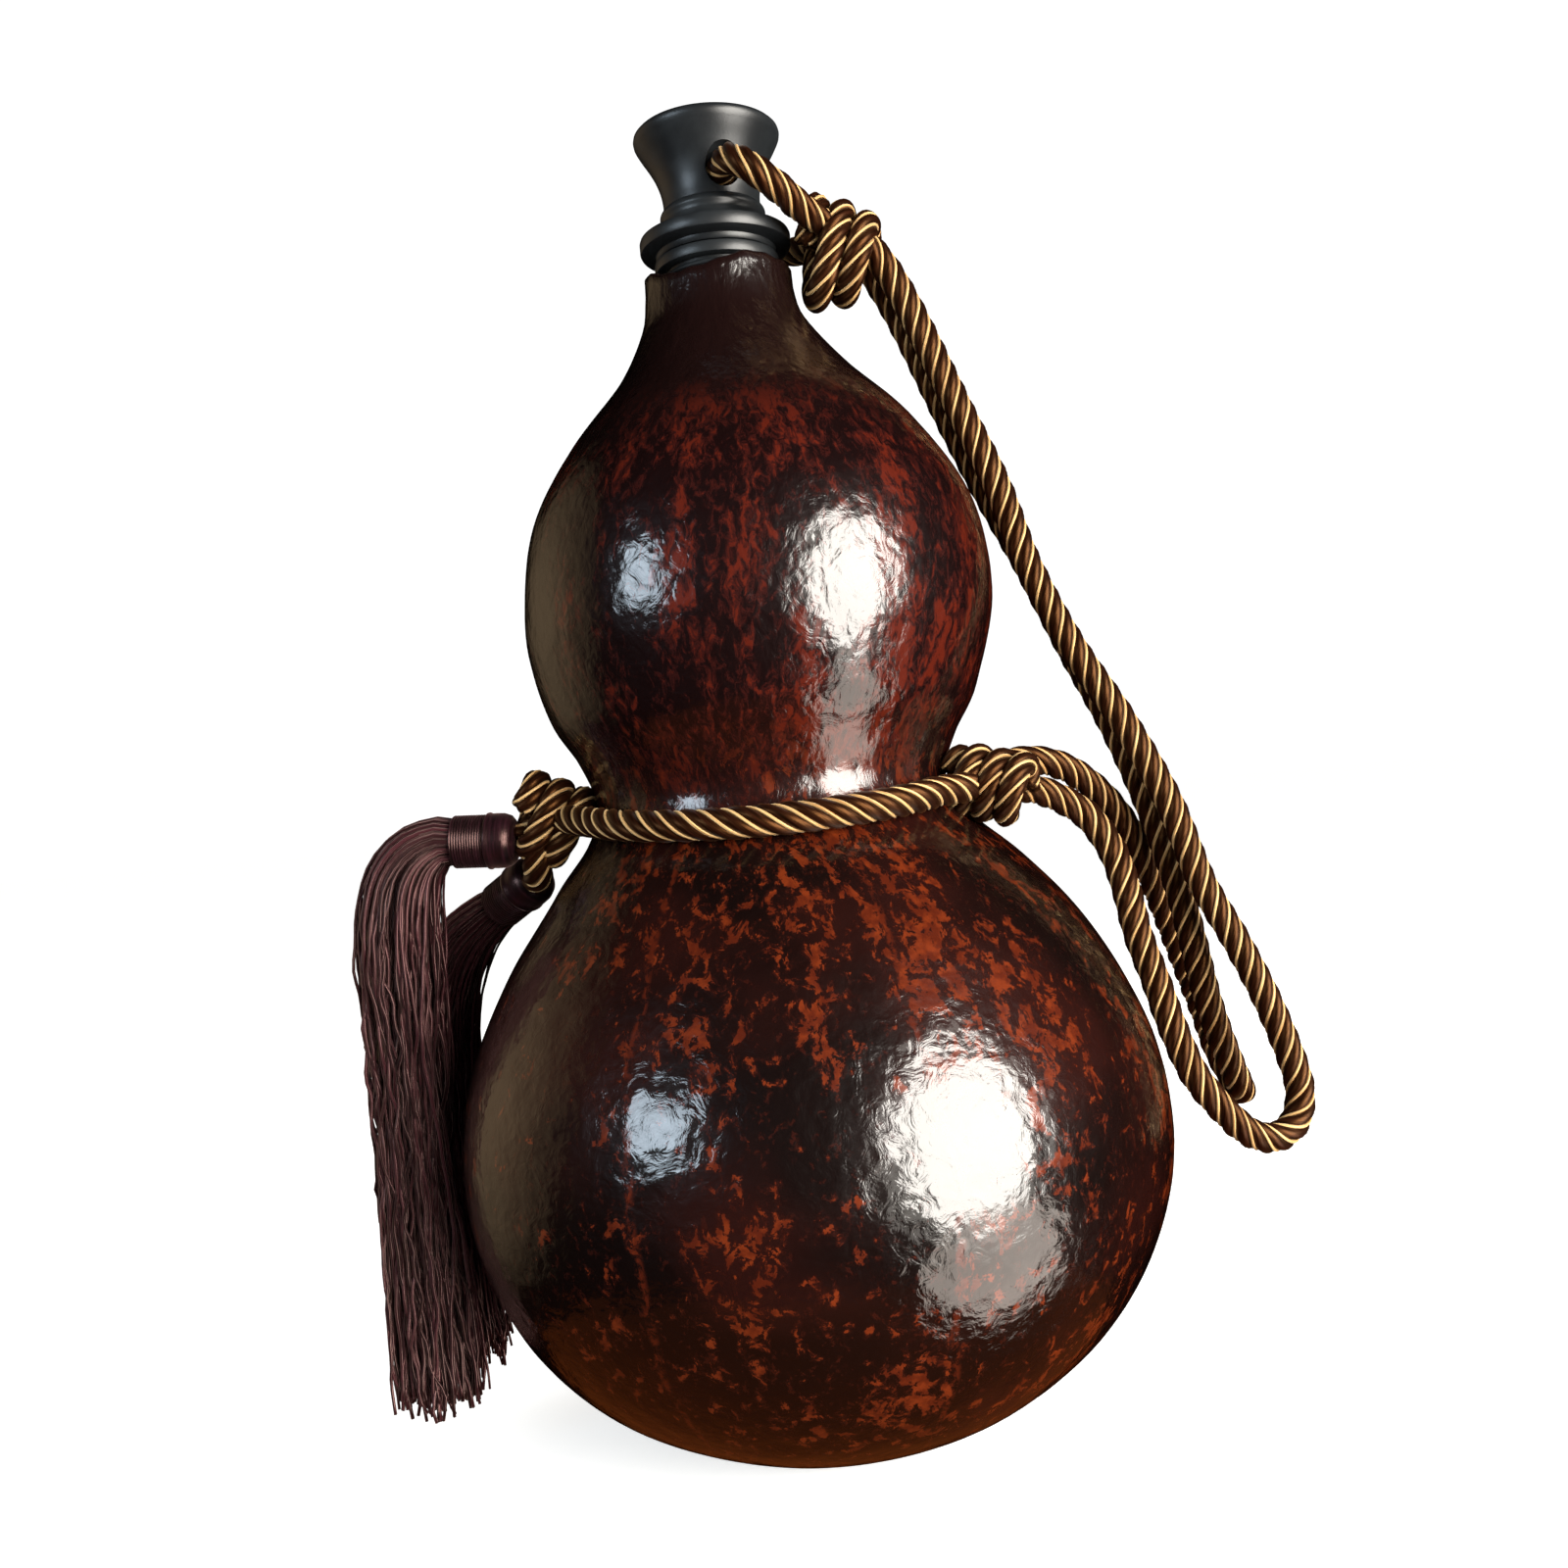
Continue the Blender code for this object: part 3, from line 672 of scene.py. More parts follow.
@dataclass
class Stopper:
    """The push-in stopper, turned about the neck's middle line, with the cord's hole across it."""

    axis_x: float = -3.5
    top: float = 204.0
    head: float = 11.65
    waist: float = 7.7
    flange: float = 12.0
    flange_top: float = 186.8
    flange_bottom: float = 184.6
    plug: float = 6.8
    plug_bottom: float = 166.0
    hole: float = 2.75
    hole_height: float = 195.0
    hole_turn: float = math.radians(17)
    segments: int = 112

    def outline(self) -> np.ndarray:
        """The (radius, height) pairs from the middle of the plug's end up to the middle of the head."""
        end, plug = self.plug_bottom, self.plug
        inside = [(0.4, end), (plug - 1.4, end), (plug - 0.5, end + 0.9)]
        seat = [(plug, 183.3), (plug, 183.45), (9.3, 183.45), (9.5, 183.65), (9.6, 184.3)]
        low, high, out = self.flange_bottom, self.flange_top, self.flange
        rim = [(out - 0.4, low), (out - 0.12, low + 0.12), (out, low + 0.4)]
        rim += [(out, high - 0.45), (out - 0.13, high - 0.13), (out - 0.45, high)]
        shoulder = smooth_curve([(9.6, 186.85), (8.8, 187.25), (8.3, 188.2), (8.1, 189.3)], 4)
        bead = smooth_curve([(8.25, 189.7), (8.4, 190.25), (8.2, 190.8), (self.waist, 191.3)], 4)
        flare = [(self.waist, 191.6), (7.75, 193.0), (8.05, 194.8), (8.75, 196.9), (9.75, 198.9)]
        flare = smooth_curve([*flare, (10.75, 200.6), (11.35, 201.7)], 5)
        edge = [(0.08, 202.2), (0.0, 202.7), (0.1, 203.1), (0.45, 203.45), (1.0, 203.6)]
        edge = [(self.head - inwards, height) for inwards, height in edge]
        crown = [(9.2, 203.62), (7.0, 203.75), (4.0, 203.9), (1.5, 203.97), (0.4, self.top - 0.02)]
        return np.vstack([inside, seat, rim, shoulder, bead, flare, edge, crown])

    def build(self, finish: Material) -> Piece:
        """Turns the stopper, bores its hole and rounds the hole's edge.

        Args:
            finish: the stopper's material.

        Returns:
            The stopper.
        """
        profile = self.outline()
        sheet = Sheet()
        sheet.add_rings(turned(profile, self.segments, self.axis_x), travelled(profile))
        stopper = sheet.make("turned_stopper", [finish])
        self.bore(stopper, finish)
        return settle(stopper, Slot.PLASTIC, "stopper")

    def bore(self, stopper: Piece, finish: Material) -> None:
        """Cuts the cord's hole, opened out at both of its ends.

        Args:
            stopper: the stopper, still without its hole.
            finish: the material of the hole's wall.
        """
        reach = 2.2 * self.waist
        flares = [(1.5, reach), (0.75, 9.2), (0.3, 8.2), (0.0, 7.4)]
        line = [(self.hole + wider, -away) for wider, away in flares]
        line += [(self.hole + wider, away) for wider, away in reversed(flares)]
        profile = np.array(line)
        sheet = Sheet()
        sheet.add_rings(turned(profile, 48), profile[:, 1])
        cutter = sheet.make("hole_cutter", [finish])
        turn = Matrix.Rotation(self.hole_turn, 4, "Z") @ Matrix.Rotation(math.radians(90), 4, "X")
        middle = Vector((self.axis_x, 0.0, self.hole_height))
        cutter.matrix_world = Matrix.Translation(middle * MM) @ turn
        cut = stopper.modifiers.new("hole", "BOOLEAN")
        cut.object = cutter
        bpy.context.view_layer.update()
        graph = bpy.context.evaluated_depsgraph_get()
        bored = bpy.data.meshes.new_from_object(stopper.evaluated_get(graph))
        stopper.modifiers.clear()
        stopper.data = bored
        bored.shade_smooth()
        bored.set_sharp_from_angle(angle=math.radians(38))
        bpy.data.objects.remove(cutter)


@dataclass
class MouthBush:
    """The ridged bush pushed into the mouth, whose collar the stopper sits on."""

    axis_x: float = -3.5
    collar: float = 9.9
    radius: float = 8.6
    bore: float = 7.2
    top: float = 183.2
    bottom: float = 168.0
    collar_bottom: float = 181.3
    ridges: int = 5
    pitch: float = 1.25
    segments: int = 96

    def build(self, finish: Material) -> Piece:
        """Turns the bush as one closed ring.

        Args:
            finish: its material.

        Returns:
            The bush.
        """
        r, out, low, high = self.radius, self.collar, self.collar_bottom, self.top
        outline = [(self.bore, self.bottom), (r - 0.5, self.bottom)]
        ridges = []
        for ridge in range(self.ridges):
            top = low - 0.35 - ridge * self.pitch
            ridges += [(r - 0.5, top), (r - 0.1, top - 0.25), (r, top - 0.5)]
            ridges += [(r - 0.1, top - 0.75), (r - 0.5, top - 0.95)]
        outline += ridges[::-1]
        outline += [(r - 0.4, low), (out - 0.4, low), (out - 0.1, low + 0.15), (out, low + 0.5)]
        outline += [(out, high - 0.5), (out - 0.12, high - 0.15), (out - 0.45, high)]
        outline += [(self.bore + 0.3, high), (self.bore, high - 0.3), (self.bore, self.bottom)]
        profile = np.array(outline)
        sheet = Sheet()
        rings = turned(profile, self.segments, self.axis_x)
        sheet.add_rings(rings, travelled(profile), capped=False)
        bush = sheet.make("ridged_bush", [finish])
        weld(bush)
        bush.data.set_sharp_from_angle(angle=math.radians(40))
        return settle(bush, Slot.PLASTIC, "mouth_bush")


def weld(piece: Piece) -> None:
    """Joins the points of a mesh that lie in one place."""
    shape = bmesh.new()
    shape.from_mesh(piece.data)
    bmesh.ops.remove_doubles(shape, verts=shape.verts, dist=0.001 * MM)
    shape.to_mesh(piece.data)
    shape.free()


# --------------------------------------------------------------------------- cord


@dataclass
class TwistedCord:
    """Right-hand laid cord: four floss strands with a thin gold thread in each groove between them."""

    diameter: float = 4.7
    lead: float = 14.2  # how far along it a strand goes once round
    strands: int = 4
    strand_radius: float = 0.96
    gold_radius: float = 0.27
    gold_reach: float = 1.9
    strand_sides: int = 12
    gold_sides: int = 6
    spacing: float = 0.55

    def add(self, sheet: Sheet, route: np.ndarray, thickness: float = 1.0, phase: float = 0.0) -> np.ndarray:
        """Lays the cord along a route.

        Args:
            sheet: the mesh that the strands are added to: floss in slot 0 and gold in slot 1.
            route: points in millimetres, close enough together to be smooth.
            thickness: the cord's thickness where it is squeezed, as a share of its own.
            phase: how far round the first strand starts.

        Returns:
            The centre line that the cord was laid on.
        """
        line = spaced(route, self.spacing)
        _, side, across = carried_frames(line)
        along = travelled(line)
        core = self.diameter / 2 - self.strand_radius
        for strand in range(self.strands):
            for gold in (False, True):
                reach = (self.gold_reach if gold else core) * thickness
                radius = (self.gold_radius if gold else self.strand_radius) * thickness
                sides = self.gold_sides if gold else self.strand_sides
                turn = TAU * (along / self.lead + (strand + 0.5 * gold) / self.strands) + phase
                out = np.cos(turn)[:, None] * side + np.sin(turn)[:, None] * across
                centre = line + reach * out
                ahead = unit(np.gradient(centre, axis=0))
                out = unit(out - ahead * np.sum(out * ahead, axis=1, keepdims=True))
                rings = tube(centre, out, np.cross(ahead, out), radius, sides)
                sheet.add_rings(rings, along, slot=int(gold))
        return line


@dataclass
class Wrap:
    """A knot's visible turns: the cord wound round the cords that pass through it."""

    name: str
    centre: Point
    node: str
    turns: float
    half_height: float
    half_depth: float
    pitch: float
    lean: float = 0.0
    turn: float = 0.0
    thickness: float = 1.0
    start: float = -0.2
    swell: float = 1.0  # the first turn's height, as a share of the last's

    def route(self) -> np.ndarray:
        """The wound route: out of the knot's middle, down the front, up the back and in again."""
        end = self.start + self.turns
        share = np.linspace(self.start, end, round(48 * self.turns))
        angle = TAU * share
        swell = self.swell + (1.0 - self.swell) * ease(share, self.start, end - 0.4)
        out = 0.25 + 0.75 * ease(share, self.start, self.start + 0.2) * (1.0 - ease(share, end - 0.2, end))
        middle = (self.start + end) / 2
        along = -self.pitch * (share - middle)
        deep = -self.half_depth * out * np.sin(angle)
        high = self.half_height * swell * out * np.cos(angle)
        local = np.stack([along, deep, high], axis=-1)
        place = Matrix.Rotation(math.radians(self.turn), 3, "Z")
        place = place @ Matrix.Rotation(math.radians(self.lean), 3, "Y")
        return local @ np.array(place).T + np.array(self.centre)


@dataclass
class Stretch:
    """One stretch of the cord between two of its knots."""

    name: str
    node: str
    stops: Route
    leaves: Point
    lay: str = "hanging"
    phase: float = 0.0
    carries: tuple[str, ...] = ()


@dataclass
class CordWork:
    """The whole cord: its loop through the stopper, the lanyard, the waist's turn and the knots."""

    cord: TwistedCord = field(default_factory=TwistedCord)
    shell: GourdShell = field(default_factory=GourdShell)
    neck_x: float = -3.5
    hole_height: float = 195.0
    hole_turn: float = math.radians(17)
    waist_clearance: float = 0.35
    front_height: float = 94.3
    side_height: float = 96.2
    rear_height: float = 97.4
    right_knot: Point = (30.4, -11.2, 96.6)
    left_knot: Point = (-36.6, -4.6, 96.9)
    front_end: Point = (-41.6, -4.3, 94.6)
    rear_end: Route = (
        (-33.6, 3.2, 97.6), (-35.6, -1.6, 98.0), (-37.4, -5.0, 96.2), (-38.6, -6.0, 92.8),
        (-39.4, -4.2, 89.6), (-39.9, -0.8, 88.2), (-41.4, 3.0, 87.7),
    )

    def loop(self) -> Stretch:
        """From the stopper's knot through the hole from front to back and round to the knot again."""
        before = ((19.6, -5.6, 181.9), (15.4, -5.6, 184.4), (10.4, -8.8, 186.9), (6.6, -12.0, 189.4))
        before += ((2.4, -13.3, 192.4), (-0.2, -11.2, 194.6))
        through = []
        for reach in (8.4, 3.0, -3.0, -8.4):
            x = self.neck_x + reach * math.sin(self.hole_turn)
            through.append((x, -reach * math.cos(self.hole_turn), self.hole_height))
        after = ((-6.4, 12.2, 194.6), (-3.0, 15.4, 192.6), (3.6, 14.6, 189.8), (9.6, 9.2, 187.2))
        after += ((14.6, 1.4, 184.2), (19.0, 0.6, 181.8))
        stops = before + tuple(through) + after
        knot = ("knot_at_stopper",)
        leaves = (-1.2, -8.5, 195.0)
        return Stretch("cord_stopper_loop", "stopper_loop_cord", stops, leaves, "loose", carries=knot)

    def lanyard(self) -> tuple[Stretch, Stretch]:
        """The lanyard's two legs, from the stopper's knot down to the waist's right knot."""
        front = (
            (12.6, -5.4, 186.2), (16.2, -5.6, 184.0), (20.4, -5.0, 181.4), (23.8, -3.6, 176.8),
            (27.3, -2.6, 169.4), (32.3, -2.5, 156.4), (37.3, -2.6, 143.5), (41.0, -2.7, 130.6),
            (46.6, -2.8, 117.5), (53.8, -3.0, 104.4), (59.6, -3.2, 91.5), (63.6, -3.3, 78.6),
            (68.0, -3.6, 69.0), (71.9, -3.9, 59.4), (74.9, -4.3, 49.4), (75.3, -5.0, 44.4),
            (73.6, -6.3, 40.6), (69.8, -8.0, 39.0), (65.4, -9.8, 40.6), (61.2, -11.0, 45.0),
            (57.5, -11.4, 50.4), (55.1, -10.8, 57.4), (53.4, -9.4, 65.0), (51.8, -8.0, 71.6),
            (50.9, -6.8, 78.6), (49.6, -5.6, 84.6), (46.4, -5.3, 90.2), (41.8, -6.4, 93.6),
            (37.2, -8.6, 95.4), (33.0, -10.8, 95.8),
        )
        rear = (
            (12.0, 0.0, 187.4), (15.6, -0.6, 185.4), (19.8, 1.2, 181.8), (23.1, 2.4, 176.6),
            (26.4, 2.7, 169.2), (31.4, 2.8, 156.0), (36.6, 2.8, 143.2), (42.4, 2.7, 130.2),
            (47.7, 2.6, 117.1), (53.4, 2.4, 104.0), (57.8, 2.2, 91.2), (61.2, 2.3, 78.4),
            (63.0, 2.6, 68.8), (64.7, 3.9, 60.0), (66.6, 5.5, 53.4), (68.7, 7.4, 47.7),
            (70.6, 9.9, 43.6), (71.8, 13.8, 42.0), (71.5, 17.9, 43.8), (70.1, 20.0, 48.3),
            (68.2, 19.2, 55.0), (65.0, 16.0, 63.6), (61.6, 12.2, 72.6), (58.2, 8.6, 81.0),
            (55.0, 5.6, 87.4), (51.0, 3.2, 93.0), (46.2, 0.7, 97.2), (41.6, -1.8, 99.3),
            (36.8, -4.4, 99.8), (32.4, -7.4, 98.8),
        )
        right = ("knot_waist_right",)
        return (
            Stretch("cord_lanyard_front", "lanyard_cord_front", front, front[2], phase=0.5, carries=right),
            Stretch("cord_lanyard_rear", "lanyard_cord_rear", rear, rear[2], phase=1.4),
        )

    def waist(self, start: float, end: float, middle_height: float, tail: Route) -> Route:
        """Half a turn round the waist.

        Args:
            start: its first angle in degrees, at the right knot.
            end: its last, at the left knot.
            middle_height: how high it is half way.
            tail: the points after that, through the left knot and into the tassel's head.

        Returns:
            The points that it passes through.
        """
        stops = [self.right_knot]
        for angle in np.linspace(start, end, 11):
            middle = math.sin(math.pi * (angle - start) / (end - start))
            height = self.side_height + (middle_height - self.side_height) * middle
            reach = self.seat(height)
            x = float(self.shell.lean(height)) + reach * math.cos(math.radians(angle))
            stops.append((x, reach * math.sin(math.radians(angle)), height))
        return (*stops, *tail)

    def seat(self, height: float) -> float:
        """How far from the shell's middle line a cord's centre is when it lies in the waist."""
        radius = self.cord.diameter / 2 + self.waist_clearance
        curve = smooth_curve(self.shell.outline, 12)
        near = curve[np.abs(curve[:, 1] - height) < radius]
        return float(np.max(near[:, 0] + np.sqrt(radius**2 - (near[:, 1] - height) ** 2)))

    def stretches(self) -> list[Stretch]:
        """Every stretch of the cord, in order."""
        front = self.waist(-38.0, -152.0, self.front_height, (self.left_knot, self.front_end))
        rear = self.waist(12.0, 164.0, self.rear_height, self.rear_end)
        front_ties = ("knot_waist_left", "front_tassel_head", "front_tassel_skirt")
        rear_ties = ("rear_tassel_head", "rear_tassel_skirt")
        at_front, at_rear = (25.0, -18.0, 96.2), (29.0, 6.0, 96.2)
        return [
            self.loop(),
            *self.lanyard(),
            Stretch("cord_waist_front", "waist_cord_front", front, at_front, "taut", 0.3, front_ties),
            Stretch("cord_waist_rear", "waist_cord_rear", rear, at_rear, "taut", 2.0, rear_ties),
        ]

    def wraps(self) -> list[Wrap]:
        """The visible turns of the three knots."""
        at_stopper = Wrap("knot_at_stopper", (15.4, -3.2, 181.4), "stopper_knot", 2.4, 7.2, 4.5, 4.2)
        right = Wrap("knot_waist_right", self.right_knot, "waist_knot_right", 3.3, 3.9, 3.6, 3.5)
        left = Wrap("knot_waist_left", self.left_knot, "waist_knot_left", 2.4, 5.0, 3.4, 3.9)
        return [
            replace(at_stopper, lean=13.0, thickness=0.94, swell=0.72),
            replace(right, lean=14.0, turn=-20.0, thickness=0.9),
            replace(left, lean=24.0, turn=10.0, thickness=0.92),
        ]

    def build(self, floss: Material, gold: Material) -> None:
        """Builds the stretches and the knots.

        Args:
            floss: the strands' material.
            gold: the thin threads' material.
        """
        for wrap in self.wraps():
            sheet = Sheet()
            self.cord.add(sheet, wrap.route(), thickness=wrap.thickness)
            settle(sheet.make(wrap.name, [floss, gold]), Slot.CORD, wrap.node)
        for stretch in self.stretches():
            sheet = Sheet()
            line = self.cord.add(sheet, smooth_curve(stretch.stops, 24), phase=stretch.phase)
            piece = settle(sheet.make(stretch.name, [floss, gold]), Slot.CORD, stretch.node)


# --------------------------------------------------------------------------- tassels


@dataclass
class Tassel:
    """A wrapped head and the silk threads that hang from it."""

    side: str  # 'front' or 'rear', as the CAD nodes are named
    head_start: Point
    head_end: Point
    head_radius: float
    stops: tuple[tuple[float, float, float, float], ...]  # the skirt's middle, and its radius there
    locks: int = 26
    threads: int = 13  # in each lock
    thread_radius: float = 0.27
    lock_spread: float = 0.3  # a lock's radius, as a share of the bundle's
    shortest: float = 0.925
    pointed: int = 6  # every so many locks, one ends in a point of its own
    seed: int = 1
    lines: int = 13  # turns of thread round the head
    head_sides: int = 48
    slant: float = 0.14  # how far out of square the head was wound
    row_mm: float = 1.7

    def build(self, head_silk: Material, skirt_silk: Material) -> None:
        """Builds the head and the skirt.

        Args:
            head_silk: the head's material.
            skirt_silk: the threads' material.
        """
        settle(self.head(head_silk), Slot.TASSEL, f"tassel_head_{self.side}")
        settle(self.skirt(skirt_silk), Slot.TASSEL, f"tassel_skirt_{self.side}")

    def head(self, silk: Material) -> Piece:
        """The head: a covered cap, and the thread wound round the skirt's top."""
        start, end = Vector(self.head_start), Vector(self.head_end)
        length = (end - start).length
        r = self.head_radius
        cap = [(0.5, 0.0), (r - 2.4, 0.0), (r - 1.2, 0.25), (r - 0.4, 0.9), (r - 0.05, 1.9), (r, 3.2)]
        cap += [(r - 0.05, 0.40 * length), (r + 0.15, 0.43 * length), (r + 0.1, 0.46 * length)]
        winds = []
        pitch = 0.55 * length / self.lines
        for line in range(self.lines):
            low = 0.47 * length + line * pitch
            winds += [(r - 0.45, low), (r - 0.2, low + 0.25 * pitch), (r - 0.17, low + 0.5 * pitch)]
            winds += [(r - 0.2, low + 0.75 * pitch)]
        close = [(r - 0.5, 1.02 * length), (r - 1.4, 1.03 * length), (0.5, 1.03 * length)]
        profile = np.array(cap + winds + close)
        rings = turned(profile, self.head_sides)
        angle = np.linspace(0.0, TAU, self.head_sides, endpoint=False)
        uneven = self.slant * np.cos(angle) * ease(profile[:, 1:], 0.3 * length, 0.5 * length)
        rings[..., 2] += uneven
        sheet = Sheet()
        sheet.add_rings(rings, travelled(profile))
        head = sheet.make(f"{self.side}_tassel_head", [silk])
        aim = (end - start).to_track_quat("Z", "Y").to_matrix().to_4x4()
        head.data.transform(Matrix.Translation(start * MM) @ aim)
        return head

    def skirt(self, silk: Material) -> Piece:
        """The loose threads: locks that bend over together, gather to points and end unevenly."""
        chance = np.random.default_rng(self.seed)
        line = spaced(smooth_curve(self.stops, 16), self.row_mm)
        bundle = (line[:, :3], *carried_frames(line[:, :3])[1:], line[:, 3], travelled(line))
        total = bundle[-1][-1]
        sheet = Sheet()
        for lock in range(self.locks):
            reach = (1.0 - self.lock_spread * 0.6) * math.sqrt((lock + 0.6) / self.locks)
            angle = lock * GOLDEN_ANGLE
            middle = reach * np.array([math.cos(angle), math.sin(angle)])
            tip = middle * chance.uniform(0.8, 1.1) + chance.normal(0.0, 0.1, 2)
            pointed = lock % self.pointed == self.pointed - 1
            end = total * (chance.uniform(0.9, 1.0) if pointed else chance.uniform(self.shortest, 0.965))
            gather = 0.85 if pointed else 0.25
            for _ in range(self.threads):
                own_end = min(total, end + chance.normal(0.0, 0.9))
                self.thread(sheet, bundle, middle, tip, own_end, gather, chance)
        return sheet.make(f"{self.side}_tassel_skirt", [silk])

    def thread(
        self,
        sheet: Sheet,
        bundle: tuple[np.ndarray, ...],
        middle: np.ndarray,
        tip: np.ndarray,
        end: float,
        gather: float,
        chance: np.random.Generator,
    ) -> None:
        """Adds one thread of a lock.

        Args:
            sheet: the mesh that it is added to.
            bundle: the skirt's centre line, its two cross axes, its radius and the distance along it.
            middle: where the lock starts across the bundle, in shares of its radius.
            tip: where the lock ends across the bundle.
            end: how long the thread is.
            gather: how far the lock closes up at its end, from 0 to 1.
            chance: the source of its own small differences.
        """
        centre, side, across, thick, along = (axis[: np.searchsorted(bundle[-1], end)] for axis in bundle)
        share = along / bundle[-1][-1]
        turn = chance.uniform(0.0, TAU)
        off = self.lock_spread * math.sqrt(chance.uniform()) * np.array([math.cos(turn), math.sin(turn)])
        loose = ease(share, 0.04, 0.3)[:, None]
        closing = 1.0 - gather * ease(along, end - 24.0, end)[:, None]
        spot = middle + (tip - middle) * ease(share, 0.25, 1.0)[:, None] + off * closing
        for size, wave in ((0.07, 52.0), (0.045, 19.0), (0.026, 7.5)):
            swing = np.sin(TAU * along / wave + chance.uniform(0.0, TAU))
            spot = spot + loose * swing[:, None] * chance.normal(0.0, size, 2)
        far = np.linalg.norm(spot, axis=1, keepdims=True)
        spot = spot * np.minimum(1.0, 1.02 / np.maximum(far, 1e-6)) * (thick - self.thread_radius)[:, None]
        points = centre + spot[:, :1] * side + spot[:, 1:] * across
        _, a, b = carried_frames(points)
        rings = tube(points, a, b, self.thread_radius * chance.uniform(0.8, 1.15), 4)
        sheet.add_rings(rings, along + chance.uniform(0.0, 4000.0))


FRONT_TASSEL = Tassel(
    "front",
    (-42.0, -4.2, 94.4),
    (-51.6, -3.4, 94.9),
    4.3,
    (
        (-50.6, -3.5, 94.85, 3.5), (-52.3, -3.4, 94.9, 3.9), (-54.6, -3.2, 94.9, 4.5),
        (-58.4, -3.1, 92.6, 5.9), (-61.0, -3.0, 87.4, 7.0), (-62.0, -3.0, 78.0, 7.4),
        (-62.0, -3.0, 60.0, 7.0), (-62.0, -3.2, 40.0, 7.0), (-61.6, -3.6, 20.0, 7.6),
        (-61.0, -4.0, 5.0, 8.4),
    ),
)
REAR_TASSEL = Tassel(
    "rear",
    (-40.2, 2.8, 88.6),
    (-47.6, 8.4, 84.0),
    4.1,
    (
        (-46.8, 7.8, 84.5, 3.4), (-47.9, 8.6, 83.8, 3.8), (-50.2, 10.2, 82.4, 4.3),
        (-54.4, 12.2, 78.8, 5.3), (-58.4, 13.2, 72.2, 6.2), (-60.4, 13.6, 62.0, 6.4),
        (-60.9, 13.6, 45.0, 6.4), (-60.3, 13.4, 25.0, 6.8), (-58.6, 13.0, 6.0, 7.6),
    ),
    seed=2,
)


# --------------------------------------------------------------------------- stage


@dataclass(frozen=True)
class Softbox:
    """A soft studio light with an oval front, which faces the flask."""

    name: str
    place: Point
    size: tuple[float, float]
    power: float
    colour: str
    spread_deg: float = 180.0  # a narrower one fades the light's edges
    aim: Point = (0.0, 0.0, 80.0)
    reflected: bool = True

    def add(self) -> None:
        """Adds the light."""
        data = bpy.data.lights.new(self.name, "AREA")
        data.shape = "ELLIPSE"
        data.size, data.size_y = (side * MM for side in self.size)
        data.energy = self.power
        data.spread = math.radians(self.spread_deg)
        data.color = linear(self.colour)[:3]
        lamp = bpy.data.objects.new(self.name, data)
        lamp.location = Vector(self.place) * MM
        lamp.rotation_euler = (Vector(self.aim) - Vector(self.place)).to_track_quat("-Z", "Y").to_euler()
        lamp.visible_camera = False
        lamp.visible_glossy = self.reflected
        bpy.context.scene.collection.objects.link(lamp)


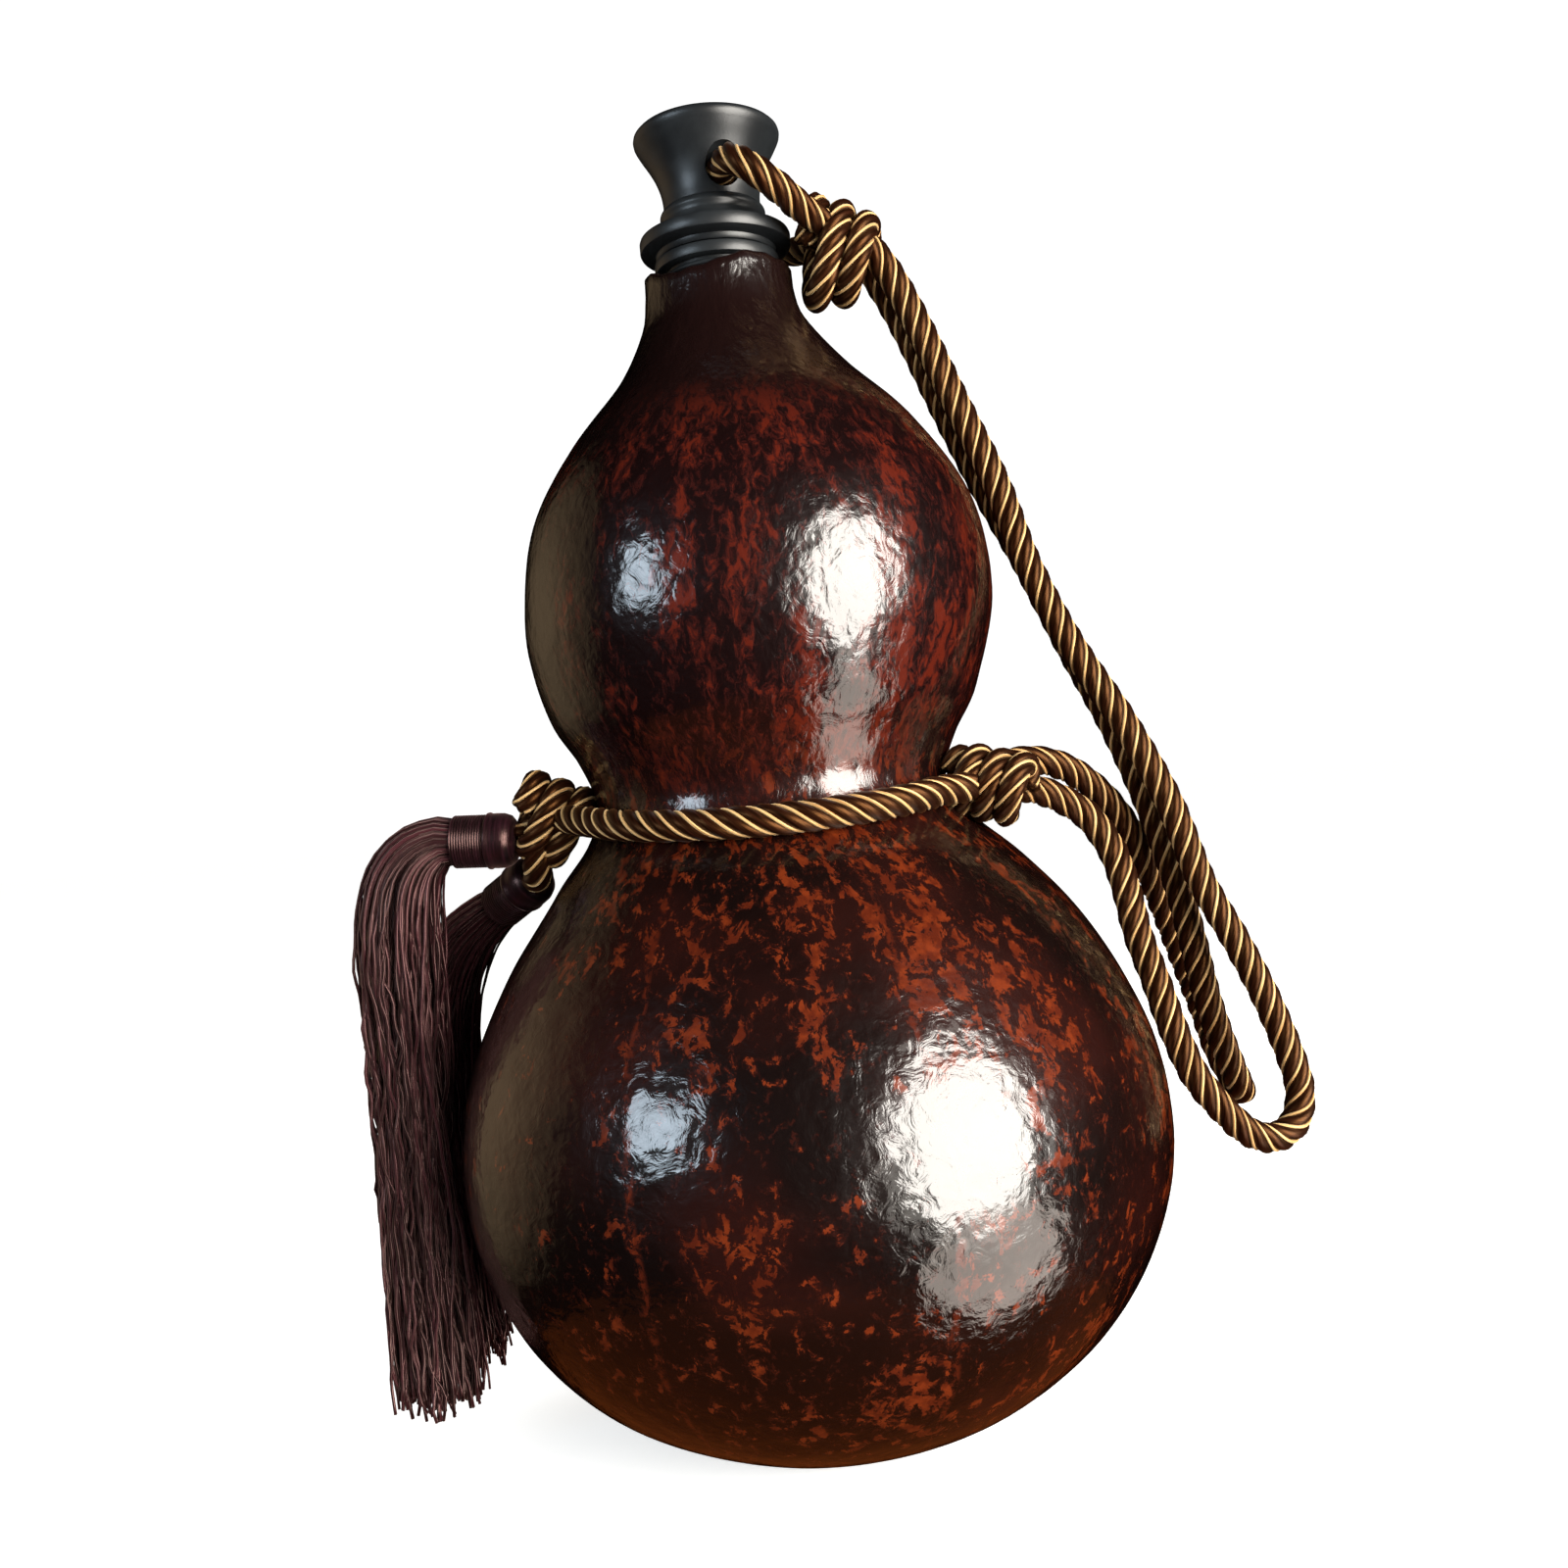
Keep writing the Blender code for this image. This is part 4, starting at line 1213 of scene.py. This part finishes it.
@dataclass
class Studio:
    """The floor, the lights and the camera."""

    eye: Point = (-3.1, -235.0, 96.0)
    aim: Point = (-0.1, 0.0, 99.5)
    roll: float = math.radians(-5.02)
    lens: float = 34.1
    floor_m: float = 40.0
    sky: str = "ffffff"
    sky_seen: float = 1.12
    sky_light: float = 0.45
    lights: tuple[Softbox, ...] = (
        Softbox("window_right", (640.0, -640.0, 120.0), (1000.0, 1120.0), 3.2, "fff8ee", 110.0),
        Softbox("window_core", (620.0, -620.0, 140.0), (700.0, 840.0), 27.0, "fffaf2"),
        Softbox("window_left", (-640.0, -560.0, 300.0), (340.0, 340.0), 0.45, "cfe0ee", 60.0),
        Softbox("low_right", (270.0, -190.0, -160.0), (290.0, 230.0), 0.95, "f3e6da"),
        Softbox("back_left", (-620.0, 300.0, 160.0), (900.0, 1100.0), 0.36, "c0a480", 75.0),
        Softbox("back_right", (300.0, 700.0, 560.0), (500.0, 400.0), 0.7, "fff6ea", 100.0, reflected=False),
        Softbox("under_glow", (0.0, 0.0, -320.0), (1000.0, 1000.0), 0.7, "b85c28", aim=(0.0, 0.0, 20.0)),
    )

    def build(self, paint: Material) -> None:
        """Sets the stage.

        Args:
            paint: the floor's material.
        """
        half = self.floor_m / 2
        corners = [(x * half, y * half, 0.0) for x, y in ((-1, -1), (1, -1), (1, 1), (-1, 1))]
        mesh = bpy.data.meshes.new("floor")
        mesh.from_pydata(corners, [], [(0, 1, 2, 3)])
        mesh.materials.append(paint)
        floor = bpy.data.objects.new("floor", mesh)
        floor.visible_glossy = False
        floor.visible_diffuse = False
        bpy.context.scene.collection.objects.link(floor)
        world = self.room()
        bpy.context.scene.world = world
        world.cycles_visibility.glossy = False
        bpy.context.scene.view_settings.view_transform = "Standard"
        for light in self.lights:
            light.add()
        self.camera()

    def room(self) -> bpy.types.World:
        """A plain pale room, which is seen brighter than it lights the flask."""
        world = bpy.data.worlds.new("pale_room")
        world.use_nodes = True
        background = world.node_tree.nodes["Background"]
        background.inputs[0].default_value = linear(self.sky)
        seen = world.node_tree.nodes.new("ShaderNodeLightPath").outputs["Is Camera Ray"]
        strength = world.node_tree.nodes.new("ShaderNodeMath")
        strength.operation = "MULTIPLY_ADD"
        strength.inputs[1].default_value = self.sky_seen - self.sky_light
        strength.inputs[2].default_value = self.sky_light
        world.node_tree.links.new(seen, strength.inputs[0])
        world.node_tree.links.new(strength.outputs[0], background.inputs[1])
        return world

    def camera(self) -> None:
        """Adds the camera, a little below the flask's middle height and turned by its roll."""
        data = bpy.data.cameras.new("camera")
        data.lens = self.lens
        data.sensor_width = 36.0
        data.clip_start = 0.01
        camera = bpy.data.objects.new("camera", data)
        aim = (Vector(self.aim) - Vector(self.eye)).to_track_quat("-Z", "Y").to_matrix().to_4x4()
        place = Matrix.Translation(Vector(self.eye) * MM)
        camera.matrix_world = place @ aim @ Matrix.Rotation(self.roll, 4, "Z")
        bpy.context.scene.collection.objects.link(camera)
        bpy.context.scene.camera = camera


def main() -> None:
    """Builds the flask's looks in order, and its stage."""
    logging.basicConfig(level=logging.INFO, format="%(name)s %(message)s")
    plastic = MouldedPlastic().make()
    floss = BROWN_FLOSS.make()
    gold = PALE_GOLD.make()
    skirt_silk = TASSEL_THREADS.make()
    head_silk = HEAD_WINDING.make()
    GourdShell().build(LacqueredRind().make())
    Stopper().build(plastic)
    MouthBush().build(plastic)
    for tassel in (FRONT_TASSEL, REAR_TASSEL):
        tassel.build(head_silk, skirt_silk)
    CordWork().build(floss, gold)
    Studio().build(PaintedFloor().make())


if __name__ == "__main__":
    main()
